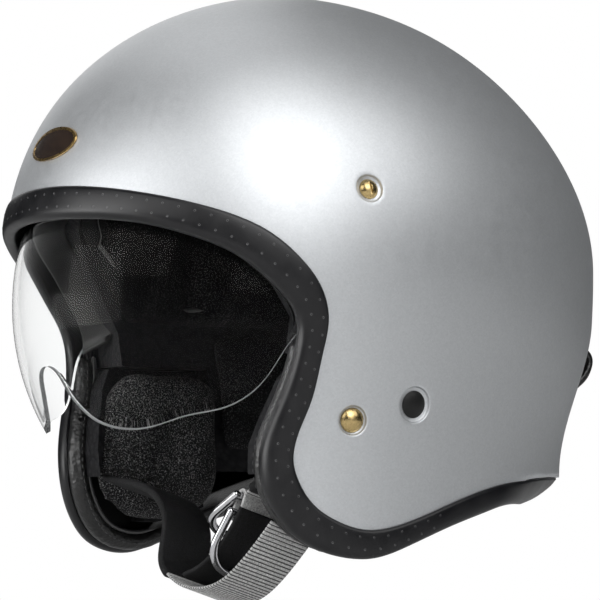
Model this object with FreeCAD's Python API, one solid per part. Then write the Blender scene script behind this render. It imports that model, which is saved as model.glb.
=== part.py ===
"""Open face motorcycle helmet, built as separate named pieces.

Frame: +X is the wearer's left, -Y is the front, +Z is up, all sizes in mm.
The origin is the middle of the head cavity, on the centre plane, at temple height.
"""
import FreeCAD, Part
import math
import os

V = FreeCAD.Vector
X_AXIS = V(1, 0, 0)
Y_AXIS = V(0, 1, 0)
Z_AXIS = V(0, 0, 1)

# ---- the outside of the shell: reach from the origin in each direction ----
FRONT = 137.0
BACK = 166.0
SIDE = 121.5
CROWN = 130.5            # height of the dome above its widest level
WIDEST_Z = 15.5          # level where the shell is widest
FRONT_FULLNESS = 0.024   # how much fuller than an ellipsoid the forehead is
BACK_FULLNESS = -0.042
SIDE_FULLNESS = -0.002
FRONT_CORNER = -0.005    # plan corners, front and back
BACK_CORNER = 0.023
TUCK_FRONT = 70.0        # depth over which the front and sides tuck in below the widest level
TUCK_SIDE = 68.0
NAPE_TUCK = 21.0         # how far the back comes in towards the nape
NAPE_TOP_Z = -10.0
NAPE_DROP = 72.0
DOME_FLOOR = -135.0      # construction solids are closed here, below every real edge

SHELL_T = 4.0
TRIM_PROUD = 1.9
TRIM_WRAP = 5.8          # depth that the edge trim reaches inside the shell's outer face
FIT_GAP = 0.3

# ---- edge of the painted shell in side view (y, z), and the lip of the rubber trim ----
EDGE = [(-165, 54), (-136, 46.5), (-118, 40.3), (-100, 33.6), (-80, 24), (-64.4, 10.5),
        (-54.4, -3), (-50.3, -16), (-51.2, -31), (-54.3, -52.5), (-59, -68), (-60.3, -79),
        (-57, -90), (-49.3, -100.5), (-37, -107.5), (-22.8, -110), (-7, -107), (20, -98),
        (47.8, -90.5), (80, -86.5), (115, -85.5), (175, -86)]
LIP = [(-165, 37), (-136, 31), (-118, 26.5), (-100.3, 18.9), (-84, 9), (-71, -3.5),
       (-64.3, -12), (-61.3, -21), (-62, -34.5), (-66.2, -52.5), (-71, -70), (-71.5, -82),
       (-68.5, -96), (-58, -112), (-43.3, -120.5), (-24, -123), (-6.9, -118.5), (20, -108.8),
       (48, -101), (80, -93.5), (115, -90.5), (175, -90)]
SHELL_RIM_SHARE = 0.72   # the shell ends this far from EDGE towards LIP, inside the trim
SKIRT_START_Y = 12.0     # behind this the trim is the plain nape skirt

# ---- inside ----
CAVITY = dict(front=103.0, back=116.0, side=89.0, crown=94.5)   # inner face of the foam liner
CROWN_PAD_T = 9.0
NECK_PAD_T = 14.0
EAR_PAD_T = 8.0
CHEEK_BLOCK = (12.5, 23.5)       # from the outer face, the foam block behind the cheek pad
CHEEK_PAD_IN = 62.0              # half width between the cheek pads
CHEEK_PAD_BACK_Y = 8.0
ROLL_W = 12.0

# ---- visor: part of an ellipsoid of revolution about the hinge line ----
PIVOT_Y = -18.0
PIVOT_Z = -4.6
LENS_HALF_W = 104.5
LENS_R = 117.0
LENS_T = 2.2
LENS_OUTLINE = [(-131.8, -33.2), (-130, -37.7), (-125.8, -48), (-120.2, -57.6), (-115.5, -62.6),
                (-107.1, -65.3), (-102, -63.8), (-95, -60), (-83.2, -56.7), (-74.2, -51.2),
                (-67.8, -42.8), (-63, -32.7), (-57, -23), (-45, -15), (-30, -15.5)]
LENS_TOP = [(-18, 9.5), (-52, 19), (-95, 40), (-150, 50)]
HUB_R = 14.0
PIN_R = 4.0
POCKET_GAP = 2.2
BOWL_ANGLE = 112.0       # polar reach of the visor's construction bowl, from straight ahead

# ---- fasteners, at (y, z) on the shell's side ----
VISOR_SCREW_AT = (-31.0, 42.0)
STRAP_RIVET_AT = (-35.0, -61.5)
PLUG_AT = (-4.0, -54.0)
VISOR_SCREW_R = 4.6
STRAP_RIVET_R = 5.6
PLUG_R = 6.2

# ---- chin strap, in its own plane: x, and s down from the line through the two rivets ----
STRAP_LEAN = 18.0        # degrees that the strap leans forward as it hangs
WEB_W = 25.0
WEB_T = 1.7
HANGER_T = 1.6
RIVET_SHANK_R = 3.6
STRAP_X = 91.0           # where the webbing passes through its steel hanger
STRAP_SHORT = [(90.4, 8.6), (88.6, 10.6), (87.9, 14), (86.5, 19), (82, 24.5), (74, 29.5),
               (63, 34.5), (57, 37.4)]
STRAP_LONG = [(-90.4, 8.6), (-88.6, 10.6), (-87.9, 14), (-86, 19.5), (-80, 25.5), (-69, 29.8),
              (-54, 31.5), (-37, 33.5), (-20, 39), (-4, 54), (0, 69), (14, 79), (36, 83), (56, 79),
              (70, 68), (84, 51)]
RING_R = 13.5
RING_WIRE_R = 1.9
RING_BARS = ((51.5, 38.8), (51.0, 46.8))
RING_ANGLES = (32.0, 67.0)   # how far each ring hangs below the X direction


def dome_radii(z, size):
    """Front, back and side reach of the dome at height z."""
    front, back, side, crown = size["front"], size["back"], size["side"], size["crown"]
    if z >= WIDEST_Z:
        c = min((z - WIDEST_Z) / crown, 1.0)
        s = math.sqrt(max(0.0, 1 - c * c))
        mid = (2 * s * c) ** 2
        return (front * s * (1 + FRONT_FULLNESS * mid), back * s * (1 + BACK_FULLNESS * mid),
                side * s * (1 + SIDE_FULLNESS * mid), s)
    drop = WIDEST_Z - z

    def tuck(reach, depth):
        return reach - reach / (2 * crown * crown) * drop * drop / (1 + (drop / depth) ** 2)

    u = min(max((NAPE_TOP_Z - z) / NAPE_DROP, 0), 1)
    return (tuck(front, TUCK_FRONT), back - NAPE_TUCK * (3 * u * u - 2 * u ** 3),
            tuck(side, TUCK_SIDE), 1.0)


def dome_point(angle, z, size):
    """Point of the dome at a plan angle measured from the front towards +X."""
    front, back, side, s = dome_radii(z, size)
    if s < 1e-6:
        return V(0, 0, z)
    ct, st = math.cos(angle), math.sin(angle)
    w = (1 + ct) / 2
    r = 1 / math.sqrt((st / side) ** 2 + ct ** 2 * (w / front ** 2 + (1 - w) / back ** 2))
    corner = (FRONT_CORNER + BACK_CORNER) / 2 + (FRONT_CORNER - BACK_CORNER) / 2 * ct
    r *= 1 + corner * math.sin(2 * angle) ** 2 * s * s
    return V(r * st, -r * ct, z)


def inset(depth):
    """Size of the dome that lies this far inside the shell's outer face."""
    return dict(front=FRONT - depth, back=BACK - depth, side=SIDE - depth, crown=CROWN - depth)


def shrink(size, depth):
    return {key: value - depth for key, value in size.items()}


def dome_solid(size, floor=DOME_FLOOR, steps=26):
    """Closed dome. A square grid is wrapped over it, so that it has no pole."""
    over_top = math.pi / 2 * size["crown"]
    below = WIDEST_Z - floor
    equator = over_top / (over_top + below)
    grid = []
    for i in range(steps + 1):
        row = []
        for j in range(steps + 1):
            a, b = 2 * i / steps - 1, 2 * j / steps - 1
            x, y = a * math.sqrt(1 - b * b / 2), b * math.sqrt(1 - a * a / 2)
            rho = min(math.hypot(x, y), 1.0)
            if rho < equator:
                z = WIDEST_Z + size["crown"] * math.cos(rho / equator * math.pi / 2)
            else:
                z = WIDEST_Z - (rho - equator) / (1 - equator) * below
            row.append(dome_point(math.atan2(x, -y), z, size) if rho > 1e-9 else V(0, 0, z))
        grid.append(row)
    surface = Part.BSplineSurface()
    surface.interpolate(grid)
    skin = surface.toShape()
    base = Part.Face(Part.Wire(Part.__sortEdges__(skin.Edges)))
    return Part.Solid(Part.Shell([skin, base]))


def side_x(y, z, size):
    """X of the dome where its left side passes through (y, z)."""
    low, high = 0.0, math.pi
    for _ in range(50):
        mid = (low + high) / 2
        if dome_point(mid, z, size).y < y:
            low = mid
        else:
            high = mid
    return dome_point(low, z, size).x


def surface_normal(y, z, size):
    step = 0.5
    x_y = (side_x(y + step, z, size) - side_x(y - step, z, size)) / (2 * step)
    x_z = (side_x(y, z + step, size) - side_x(y, z - step, size)) / (2 * step)
    n = V(1, -x_y, -x_z)
    n.normalize()
    return n


def mixed(share):
    return [((1 - share) * a[0] + share * b[0], (1 - share) * a[1] + share * b[1])
            for a, b in zip(EDGE, LIP)]


def slab_above(outline, half_width=140.0, smooth=True):
    """Everything on the helmet's side of an outline drawn in side view."""
    points = [V(-half_width, y, z) for y, z in outline]
    corners = [points[-1], V(-half_width, points[-1].y, 170), V(-half_width, points[0].y, 170),
               points[0]]
    if smooth:
        curve = Part.BSplineCurve()
        curve.interpolate(points)
        edges = [curve.toShape()]
    else:
        edges = Part.makePolygon(points).Edges
    edges += Part.makePolygon(corners).Edges
    face = Part.Face(Part.Wire(edges))
    return face.extrude(V(2 * half_width, 0, 0))


def prism(outline, x0, x1):
    """Straight-sided outline in side view, run from x0 to x1."""
    points = [V(x0, y, z) for y, z in outline]
    return Part.Face(Part.makePolygon(points + points[:1])).extrude(V(x1 - x0, 0, 0))


def mirrored(shape):
    return shape.mirror(V(0, 0, 0), X_AXIS)


def both_sides(shape):
    return Part.makeCompound([shape, mirrored(shape)])


def cylinder(at, direction, radius, start, end):
    return Part.makeCylinder(radius, end - start, at + direction * start, direction)


def save(name, shape):
    pieces = shape.Solids
    out = pieces[0] if len(pieces) == 1 else Part.makeCompound(pieces)
    out.exportStep("parts/" + name + ".step")
    volume = sum(piece.Volume for piece in pieces)
    ok = all(piece.isValid() for piece in pieces)
    print("%-22s solids %d  volume %9.0f  valid %s" % (name, len(pieces), volume, ok))
    return out


# ---------------------------------------------------------------- shell and its edge

def fastener_place(at, depth=0.0):
    """Point on the left side of the shell and the outward direction there."""
    outside = inset(0)
    point = V(side_x(at[0], at[1], outside), at[0], at[1])
    normal = surface_normal(at[0], at[1], outside)
    return point - normal * depth, normal


def fastener_holes():
    """Dimple and hole for each fastener on the left side."""
    cuts = []
    for at, dimple_r, dimple_t, hole_r in ((VISOR_SCREW_AT, 6.4, 1.7, 3.1),
                                           (STRAP_RIVET_AT, 6.7, 1.5, 4.1),
                                           (PLUG_AT, 8.2, 1.5, 5.2)):
        point, normal = fastener_place(at)
        cuts.append(cylinder(point, normal, dimple_r, -dimple_t, 6))
        cuts.append(cylinder(point, normal, hole_r, -9, 6))
    return cuts


def make_shell():
    wall = dome_solid(inset(0)).cut(dome_solid(inset(SHELL_T), DOME_FLOOR - 3))
    shell = wall.common(slab_above(mixed(SHELL_RIM_SHARE)))
    for cut in fastener_holes():
        shell = shell.cut(cut)
        shell = shell.cut(mirrored(cut))
    return shell


def make_trim():
    """U channel over the shell's rim: the front and side trim, and the nape skirt."""
    wall = dome_solid(inset(-TRIM_PROUD), DOME_FLOOR - 1).cut(dome_solid(inset(TRIM_WRAP), DOME_FLOOR - 3))
    band = wall.common(slab_above(LIP)).cut(slab_above(EDGE))
    core = dome_solid(inset(-0.15)).cut(dome_solid(inset(SHELL_T + 0.15), DOME_FLOOR - 3))
    channel = band.cut(core.common(slab_above(mixed(SHELL_RIM_SHARE + 0.02))))
    front = Part.makeBox(300, 300, 400, V(-150, SKIRT_START_Y - 0.1 - 300, -200))
    back = Part.makeBox(300, 300, 400, V(-150, SKIRT_START_Y + 0.1, -200))
    return channel.common(front), channel.common(back)


# ---------------------------------------------------------------- visor

def bowl_surface(half_width, radius, steps=26):
    """Front of an ellipsoid of revolution about the hinge line, without a pole."""
    grid = []
    for i in range(steps + 1):
        row = []
        for j in range(steps + 1):
            a, b = 2 * i / steps - 1, 2 * j / steps - 1
            u, v = a * math.sqrt(1 - b * b / 2), b * math.sqrt(1 - a * a / 2)
            rho = math.hypot(u, v)
            polar = math.radians(BOWL_ANGLE) * rho
            share = math.sin(polar) / rho if rho > 1e-9 else 0.0
            row.append(V(half_width * share * u, PIVOT_Y - radius * math.cos(polar),
                         PIVOT_Z + radius * share * v))
        grid.append(row)
    surface = Part.BSplineSurface()
    surface.interpolate(grid)
    return surface.toShape()


def bowl(half_width, radius, thickness):
    """Closed wall between an outer and an inner bowl."""
    outer = bowl_surface(half_width, radius)
    inner = bowl_surface(half_width - thickness, radius - thickness)
    rims = [Part.makeRuledSurface(a, b) for a, b in zip(outer.Edges, inner.Edges)]
    shell = Part.makeShell([outer, inner] + rims)
    shell.sewShape()
    solid = Part.Solid(Part.Shell(shell.Faces))
    if solid.Volume < 0:
        solid.reverse()
    return solid


def lens_outline_face():
    """Side view of the visor: lobes and nose notch, arms back to a round hub."""
    hub_bottom = (PIVOT_Y, PIVOT_Z - HUB_R)
    hub_back = (PIVOT_Y + HUB_R, PIVOT_Z)
    lower = [V(-140, y, z) for y, z in LENS_OUTLINE + [hub_bottom]]
    curve = Part.BSplineCurve()
    curve.interpolate(lower)
    hub = Part.Arc(lower[-1], V(-140, *hub_back), V(-140, *LENS_TOP[0]))
    upper = Part.BSplineCurve()
    upper.interpolate([V(-140, y, z) for y, z in LENS_TOP])
    closing = Part.makePolygon([V(-140, *LENS_TOP[-1]), V(-140, -150, -22), lower[0]])
    return Part.Face(Part.Wire([curve.toShape(), hub.toShape(), upper.toShape()] + closing.Edges))


def pivot_point():
    return V(0, PIVOT_Y, PIVOT_Z)


def make_lens():
    lens = bowl(LENS_HALF_W, LENS_R, LENS_T).common(lens_outline_face().extrude(V(280, 0, 0)))
    bore = cylinder(pivot_point(), X_AXIS, PIN_R + FIT_GAP, -130, 130)
    return lens.cut(bore)


def make_visor_pin():
    """Shouldered pin: round head inside the lens, shank through it into the base plate."""
    inner_face = LENS_HALF_W - LENS_T
    head = cylinder(pivot_point(), X_AXIS, 8.0, inner_face - 4.2, inner_face - 1.4)
    shank = cylinder(pivot_point(), X_AXIS, PIN_R, inner_face - 1.5, LENS_HALF_W + 3.6)
    return head.fuse(shank)


def link_outline(centre_a, radius_a, centre_b, radius_b, x0, x1):
    """Plate around two centres given in side view."""
    a, b = V(x0, *centre_a), V(x0, *centre_b)
    along = b - a
    length = along.Length
    along.normalize()
    across = X_AXIS.cross(along)
    web = Part.Face(Part.makePolygon([a + across * radius_a, b + across * radius_b,
                                      b - across * radius_b, a - across * radius_a,
                                      a + across * radius_a])).extrude(V(x1 - x0, 0, 0))
    plate = web.fuse(cylinder(a, X_AXIS, radius_a, 0, x1 - x0))
    return plate.fuse(cylinder(b, X_AXIS, radius_b, 0, x1 - x0)).removeSplitter()


PLATE_X = (LENS_HALF_W + 0.8, LENS_HALF_W + 3.6)


def make_visor_base():
    plate = link_outline((PIVOT_Y, PIVOT_Z), HUB_R, VISOR_SCREW_AT, 8.0, *PLATE_X)
    plate = plate.cut(cylinder(pivot_point(), X_AXIS, PIN_R + 0.05, 90, 130))
    point, normal = fastener_place(VISOR_SCREW_AT)
    return plate.cut(cylinder(point, normal, 2.9, -20, 5))


def visor_clearance():
    """Space that the liner leaves for the visor, its hubs and its base plates."""
    band = bowl(LENS_HALF_W + POCKET_GAP, LENS_R + POCKET_GAP, LENS_T + 2 * POCKET_GAP)
    band = band.cut(Part.makeBox(300, 200, 400, V(-150, PIVOT_Y + HUB_R + 4, -200)))
    plates = link_outline((PIVOT_Y, PIVOT_Z), HUB_R + 3, VISOR_SCREW_AT, 11.0,
                          LENS_HALF_W - LENS_T - 6, PLATE_X[1] + 1.0)
    point, normal = fastener_place(VISOR_SCREW_AT)
    plates = plates.fuse(cylinder(point, normal, 4.0, -16, 4))
    return [band, plates, mirrored(plates)]


# ---------------------------------------------------------------- fasteners

def dome_head(point, normal, radius, height, shank_r, depth):
    """Round-headed screw or rivet with its shank."""
    ball_r = (radius * radius + height * height) / (2 * height)
    ball = Part.makeSphere(ball_r, point + normal * (height - ball_r))
    keep = cylinder(point, normal, radius + 1, 0, height + 1)
    return ball.common(keep).fuse(cylinder(point, normal, shank_r, -depth, 0.2))


def make_visor_screw():
    point, normal = fastener_place(VISOR_SCREW_AT, 1.55)
    screw = dome_head(point, normal, VISOR_SCREW_R, 2.6, 2.5, 9.0)
    slot = Part.makeBox(12, 1.0, 1.2, V(-6, -0.5, 0))
    slot.Placement = FreeCAD.Placement(point + normal * 1.7, FreeCAD.Rotation(Z_AXIS, normal))
    return screw.cut(slot)


def make_strap_rivet():
    """Domed head outside, spacer inside, and a shank that the hanger plate swings on."""
    point, normal = fastener_place(STRAP_RIVET_AT, 1.35)
    head = dome_head(point, normal, STRAP_RIVET_R, 2.8, RIVET_SHANK_R, 5.0)
    axis_point = V(0, *STRAP_RIVET_AT)
    plate_out = STRAP_X + HANGER_T / 2
    shank = cylinder(axis_point, X_AXIS, RIVET_SHANK_R, STRAP_X - HANGER_T / 2 - 2.2, point.x - 4.6)
    spacer = cylinder(axis_point, X_AXIS, 5.2, plate_out + FIT_GAP, point.x - 7.2)
    inner_head = cylinder(axis_point, X_AXIS, 6.0, STRAP_X - HANGER_T / 2 - 2.4,
                          STRAP_X - HANGER_T / 2 - FIT_GAP)
    return head.fuse(shank).fuse(spacer).fuse(inner_head)


def make_plug():
    point, normal = fastener_place(PLUG_AT, 1.35)
    return dome_head(point, normal, PLUG_R, 1.6, 4.8, 5.0)


# ---------------------------------------------------------------- padding

LINER_OUTLINE = [(-165, 59), (-120, 48), (-96, 38), (-76, 24), (-60, 7), (-47, -14), (-47, -30.5),
                 (CHEEK_PAD_BACK_Y + 1, -30.5), (CHEEK_PAD_BACK_Y + 1, -82), (175, -82)]
CROWN_PAD_OUTLINE = [(-125, 49), (-92, 39), (-70, 26), (-52, 8), (-40, -8), (175, -8)]
CHEEK_OUTLINE = [(-48, -31.5), (-55, -42), (-60, -58), (-63.5, -72), (-63, -84), (-60, -94),
                 (-50, -103), (-38, -106.5), (-22, -107.5), (-6, -105), (CHEEK_PAD_BACK_Y, -100),
                 (CHEEK_PAD_BACK_Y, -31.5)]


def make_liner():
    foam = dome_solid(inset(SHELL_T + FIT_GAP)).cut(dome_solid(CAVITY, DOME_FLOOR - 3))
    foam = foam.common(slab_above(LINER_OUTLINE, smooth=False))
    for cut in visor_clearance():
        foam = foam.cut(cut)
    biggest = max(foam.Solids, key=lambda piece: piece.Volume)
    return biggest


def padding_layer(thickness, gap=FIT_GAP):
    return dome_solid(shrink(CAVITY, gap)).cut(dome_solid(shrink(CAVITY, gap + thickness), DOME_FLOOR - 3))


def make_crown_pad():
    return padding_layer(CROWN_PAD_T).common(slab_above(CROWN_PAD_OUTLINE, smooth=False))


def make_neck_pad():
    box = Part.makeBox(300, 150, 72, V(-150, 54, -84))
    return padding_layer(NECK_PAD_T).common(box)


def make_ear_pad():
    box = Part.makeBox(150, 42, 64, V(0, 10.5, -74))
    return padding_layer(EAR_PAD_T).common(box)


def strap_slot():
    """Way through the cheek block and pad for the chin strap."""
    return strap_box(55, 112, -12, 46, 19)


def make_cheek_block():
    layer = dome_solid(inset(CHEEK_BLOCK[0])).cut(dome_solid(inset(CHEEK_BLOCK[1]), DOME_FLOOR - 3))
    block = layer.common(prism(CHEEK_OUTLINE, 40, 140)).cut(strap_slot())
    for stud in left_pad_snaps():
        block = block.cut(stud)
    return block


def cheek_core():
    return dome_solid(inset(CHEEK_BLOCK[1] + FIT_GAP)).common(prism(CHEEK_OUTLINE, CHEEK_PAD_IN, 140))


def roll_split(width):
    """Cheek outline with its front edge moved back by the width of the leather roll."""
    return [(y + width if y < -30 and z < -40 else y, z) for y, z in CHEEK_OUTLINE]


def make_cheek_pad():
    """The pad proper, behind its leather front roll."""
    inner = roll_split(ROLL_W + FIT_GAP)
    return cheek_core().common(prism(inner, 40, 140)).cut(strap_slot())


def make_cheek_roll():
    """Leather roll along the pad's front edge."""
    inner = roll_split(ROLL_W)
    roll = cheek_core().cut(prism(inner, 40, 140)).cut(strap_slot())
    return max(roll.Solids, key=lambda piece: piece.Volume)


# ---------------------------------------------------------------- brow frame

FRAME_STATIONS = [(-61.8, -27), (-60.8, -21), (-63.8, -12), (-70.5, -3.5), (-83.5, 9), (-98, 18),
                  (-110, 23.5), (-118, 27)]
FRAME_T = 2.4
FRAME_BACK = (9.5, 6.5)      # how far the frame's inner edge lies behind and above its outer edge
FRAME_INNER_DEPTH = 27.0     # and how deep inside the shell's outer face
BEHIND_LENS = LENS_T + 1.8


def behind_lens_x(y, z):
    """X of the surface that lies just behind the visor."""
    reach = math.hypot(y - PIVOT_Y, z - PIVOT_Z) / (LENS_R - BEHIND_LENS)
    return (LENS_HALF_W - BEHIND_LENS) * math.sqrt(max(0.0, 1 - reach * reach))


def frame_section(outer, inner):
    rise = V(0, 0.35, 0.94) * FRAME_T
    return Part.makePolygon([outer, inner, inner + rise, outer + rise, outer])


def make_frame():
    """Curved strip from side to side over the eye opening, behind the visor."""
    back, up = FRAME_BACK
    half = []
    for y, z in FRAME_STATIONS:
        edge = V(behind_lens_x(y + 3.5, z + 2.5), y + 3.5, z + 2.5)
        half.append((edge, V(side_x(edge.y + back, edge.z + up, inset(FRAME_INNER_DEPTH)),
                             edge.y + back, edge.z + up)))
    brow_z = 31.5
    reach = LENS_R - BEHIND_LENS
    brow_y = PIVOT_Y - math.sqrt(reach ** 2 - (brow_z - PIVOT_Z) ** 2)
    centre = (V(0, brow_y, brow_z), V(0, brow_y + back + 4, brow_z + up))
    full = half + [centre] + [(V(-a.x, a.y, a.z), V(-b.x, b.y, b.z)) for a, b in reversed(half)]
    return Part.makeLoft([frame_section(a, b) for a, b in full], True, False)


# ---------------------------------------------------------------- chin strap

def strap_axes():
    lean = math.radians(STRAP_LEAN)
    down = V(0, -math.sin(lean), -math.cos(lean))
    across = V(0, math.cos(lean), -math.sin(lean))
    return down, across


def strap_point(x, s, w=0.0):
    down, across = strap_axes()
    return V(x, STRAP_RIVET_AT[0], STRAP_RIVET_AT[1]) + down * s + across * w


def strap_box(x0, x1, s0, s1, half_w):
    corners = [strap_point(x0, s0, -half_w), strap_point(x1, s0, -half_w),
               strap_point(x1, s1, -half_w), strap_point(x0, s1, -half_w)]
    face = Part.Face(Part.makePolygon(corners + corners[:1]))
    return face.extrude(strap_axes()[1] * (2 * half_w))


def webbing(route, width, thickness, from_t=0.0, to_t=1.0, samples=36):
    """Flat band along a smooth route drawn in the strap's plane."""
    middle = Part.BSplineCurve()
    middle.interpolate([V(x, s, 0) for x, s in route])
    first, last = middle.FirstParameter, middle.LastParameter
    sides = ([], [])
    for k in range(samples + 1):
        t = first + (last - first) * (from_t + (to_t - from_t) * k / samples)
        point = middle.value(t)
        tangent = middle.tangent(t)[0]
        normal = V(-tangent.y, tangent.x, 0)
        for side, sign in zip(sides, (1, -1)):
            edge = point + normal * (sign * thickness / 2)
            side.append(strap_point(edge.x, edge.y, -width / 2))
    curves = []
    for side in sides:
        curve = Part.BSplineCurve()
        curve.interpolate(side)
        curves.append(curve.toShape())
    ends = [Part.makeLine(sides[0][0], sides[1][0]), Part.makeLine(sides[0][-1], sides[1][-1])]
    wire = Part.Wire(Part.__sortEdges__(curves + ends))
    return Part.Face(wire).extrude(strap_axes()[1] * width)


def make_ring(bar, angle):
    """D-shaped ring: straight bar across the strap, half-round loop hanging from it."""
    down, across = strap_axes()
    lean = math.radians(angle)
    reach = X_AXIS * -math.cos(lean) + down * math.sin(lean)
    reach.normalize()
    normal = reach.cross(across)
    bar_at = strap_point(*bar)
    shoulder = bar_at + reach * 14.0
    pieces = [cylinder(bar_at - across * RING_R, across, RING_WIRE_R, 0, 2 * RING_R)]
    for sign in (-1, 1):
        corner = bar_at + across * (sign * RING_R)
        pieces.append(Part.makeSphere(RING_WIRE_R, corner))
        pieces.append(cylinder(corner, reach, RING_WIRE_R, 0, 14.0))
    loop = Part.makeTorus(RING_R, RING_WIRE_R, shoulder, normal)
    far = Part.makeBox(60, 60, 60, V(-30, -30, 0))
    far.Placement = FreeCAD.Placement(shoulder, FreeCAD.Rotation(Z_AXIS, reach))
    ring = loop.common(far)
    for piece in pieces:
        ring = ring.fuse(piece)
    return ring.removeSplitter()


def make_short_strap():
    """Webbing from the left rivet, sewn into a loop round the bars of both rings."""
    strap = webbing(STRAP_SHORT, WEB_W, WEB_T)
    half = 2 * (RING_R - RING_WIRE_R) - 1.0
    bars = [strap_point(x, s, -half / 2) for x, s in RING_BARS]
    across = strap_axes()[1]
    along = bars[1] - bars[0]
    along.normalize()
    out = along.cross(across) * (RING_WIRE_R + FIT_GAP + WEB_T)
    web = Part.Face(Part.makePolygon([bars[0] + out, bars[1] + out, bars[1] - out, bars[0] - out,
                                      bars[0] + out])).extrude(across * half)
    loop = web
    for bar in bars:
        loop = loop.fuse(cylinder(bar, across, RING_WIRE_R + FIT_GAP + WEB_T, 0, half))
    strap = strap.fuse(loop)
    for bar in bars:
        strap = strap.cut(cylinder(bar, across, RING_WIRE_R + FIT_GAP, -5, half + 5))
    return strap


def make_hanger():
    """Steel plate that swings on the rivet, with a slot for the webbing."""
    x0 = STRAP_X - HANGER_T / 2

    def plate_of(corners):
        points = [strap_point(x0, s, w) for s, w in corners]
        return Part.Face(Part.makePolygon(points + points[:1])).extrude(V(HANGER_T, 0, 0))

    plate = plate_of([(0, -8), (0, 8), (5, 15.5), (15, 15.5), (15, -15.5), (5, -15.5)])
    plate = plate.fuse(cylinder(strap_point(x0, 0), X_AXIS, 8.0, 0, HANGER_T)).removeSplitter()
    plate = plate.cut(plate_of([(6, -13.2), (6, 13.2), (12, 13.2), (12, -13.2)]))
    return plate.cut(cylinder(strap_point(x0, 0), X_AXIS, RIVET_SHANK_R + FIT_GAP, -1, HANGER_T + 1))


# ---------------------------------------------------------------- badge and goggle tab

BADGE_AT_Z = 67.0
BADGE_HALF = (19.0, 8.0)


def badge_prism(half_w, half_h):
    ellipse = Part.Ellipse(V(0, 0, 0), half_w, half_h)
    face = Part.Face(Part.Wire(ellipse.toShape()))
    face.rotate(V(0, 0, 0), X_AXIS, 90)
    face.translate(V(0, -90, BADGE_AT_Z))
    return face.extrude(V(0, -90, 0))


def make_badge():
    layer = dome_solid(inset(-1.0)).cut(dome_solid(inset(-0.2), DOME_FLOOR - 3))
    rim_in = badge_prism(BADGE_HALF[0] - 1.3, BADGE_HALF[1] - 1.3)
    bezel = layer.common(badge_prism(*BADGE_HALF)).cut(rim_in)
    thin = dome_solid(inset(-0.75)).cut(dome_solid(inset(-0.2), DOME_FLOOR - 3))
    plate = thin.common(badge_prism(BADGE_HALF[0] - 1.35, BADGE_HALF[1] - 1.35))
    return bezel, plate


TAB_HALF_W = 25.0
TAB_OUTER = [(166.6, -19), (173.5, -19.3), (178.2, -24.5), (177.3, -30), (174.2, -35),
             (168.6, -39.5), (161, -45.5), (155.8, -51.5)]
TAB_INNER = [(166.6, -22), (172.4, -22.4), (175, -25.3), (174.2, -29), (171.3, -32.8),
             (166, -36.9), (159, -43), (154.2, -50.4)]
SNAP_AT = (160.7, -46.1)     # where the snap's cap sits on the tab's outer face
SNAP_R = 4.6


def make_goggle_tab():
    """Leather tab that loops over a goggle strap and snaps to the shell."""
    outer = Part.BSplineCurve()
    outer.interpolate([V(-TAB_HALF_W, y, z) for y, z in TAB_OUTER])
    inner = Part.BSplineCurve()
    inner.interpolate([V(-TAB_HALF_W, y, z) for y, z in TAB_INNER])
    ends = [Part.makeLine(V(-TAB_HALF_W, *TAB_OUTER[0]), V(-TAB_HALF_W, *TAB_INNER[0])),
            Part.makeLine(V(-TAB_HALF_W, *TAB_OUTER[-1]), V(-TAB_HALF_W, *TAB_INNER[-1]))]
    wire = Part.Wire(Part.__sortEdges__([outer.toShape(), inner.toShape()] + ends))
    return Part.Face(wire).extrude(V(2 * TAB_HALF_W, 0, 0))


def on_back(z):
    return V(0, dome_point(math.pi, z, inset(0)).y, z)


def back_patch(z0, z1, half_w, gap, thickness):
    layer = dome_solid(inset(-gap - thickness)).cut(dome_solid(inset(-gap), DOME_FLOOR - 3))
    return layer.common(Part.makeBox(2 * half_w, 100, z1 - z0, V(-half_w, 100, z0)))


def make_tab_mount():
    return back_patch(-15.0, -2.5, 20.0, 0.2, 2.0)


def make_tab_rivets():
    rivets = []
    for x in (-12.0, 12.0):
        at = on_back(-9.5) + V(x, 0, 0)
        at.y = dome_point(math.pi - math.asin(abs(x) / BACK), -9.5, inset(0)).y + 2.3
        rivets.append(dome_head(at, Y_AXIS, 3.5, 1.6, 1.4, 1.2))
    return Part.makeCompound(rivets)


def make_snap():
    """Stud on the shell and cap on the tab's lower end."""
    outward = V(0, 0.93, -0.37)
    outward.normalize()
    stud = cylinder(on_back(SNAP_AT[1] + 1.0), outward, 2.4, 0.2, 0.6)
    end, before = V(0, *TAB_OUTER[-1]), V(0, *TAB_OUTER[-2])
    cap_normal = X_AXIS.cross(end - before)
    cap_normal.normalize()
    cap = dome_head(V(0, *SNAP_AT), cap_normal, SNAP_R, 1.6, 1.6, 0.9)
    return stud, cap


def left_pad_snaps():
    """Press studs let into the outer face of the cheek block."""
    studs = []
    for y, z in ((-2.0, -46.0), (-2.0, -78.0)):
        x = side_x(y, z, inset(CHEEK_BLOCK[0]))
        studs.append(cylinder(V(x - 1.2, y, z), X_AXIS, 4.5, 0, 2.6))
    return studs


def make_pad_snaps():
    studs = left_pad_snaps()
    return Part.makeCompound(studs + [mirrored(stud) for stud in studs])


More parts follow.
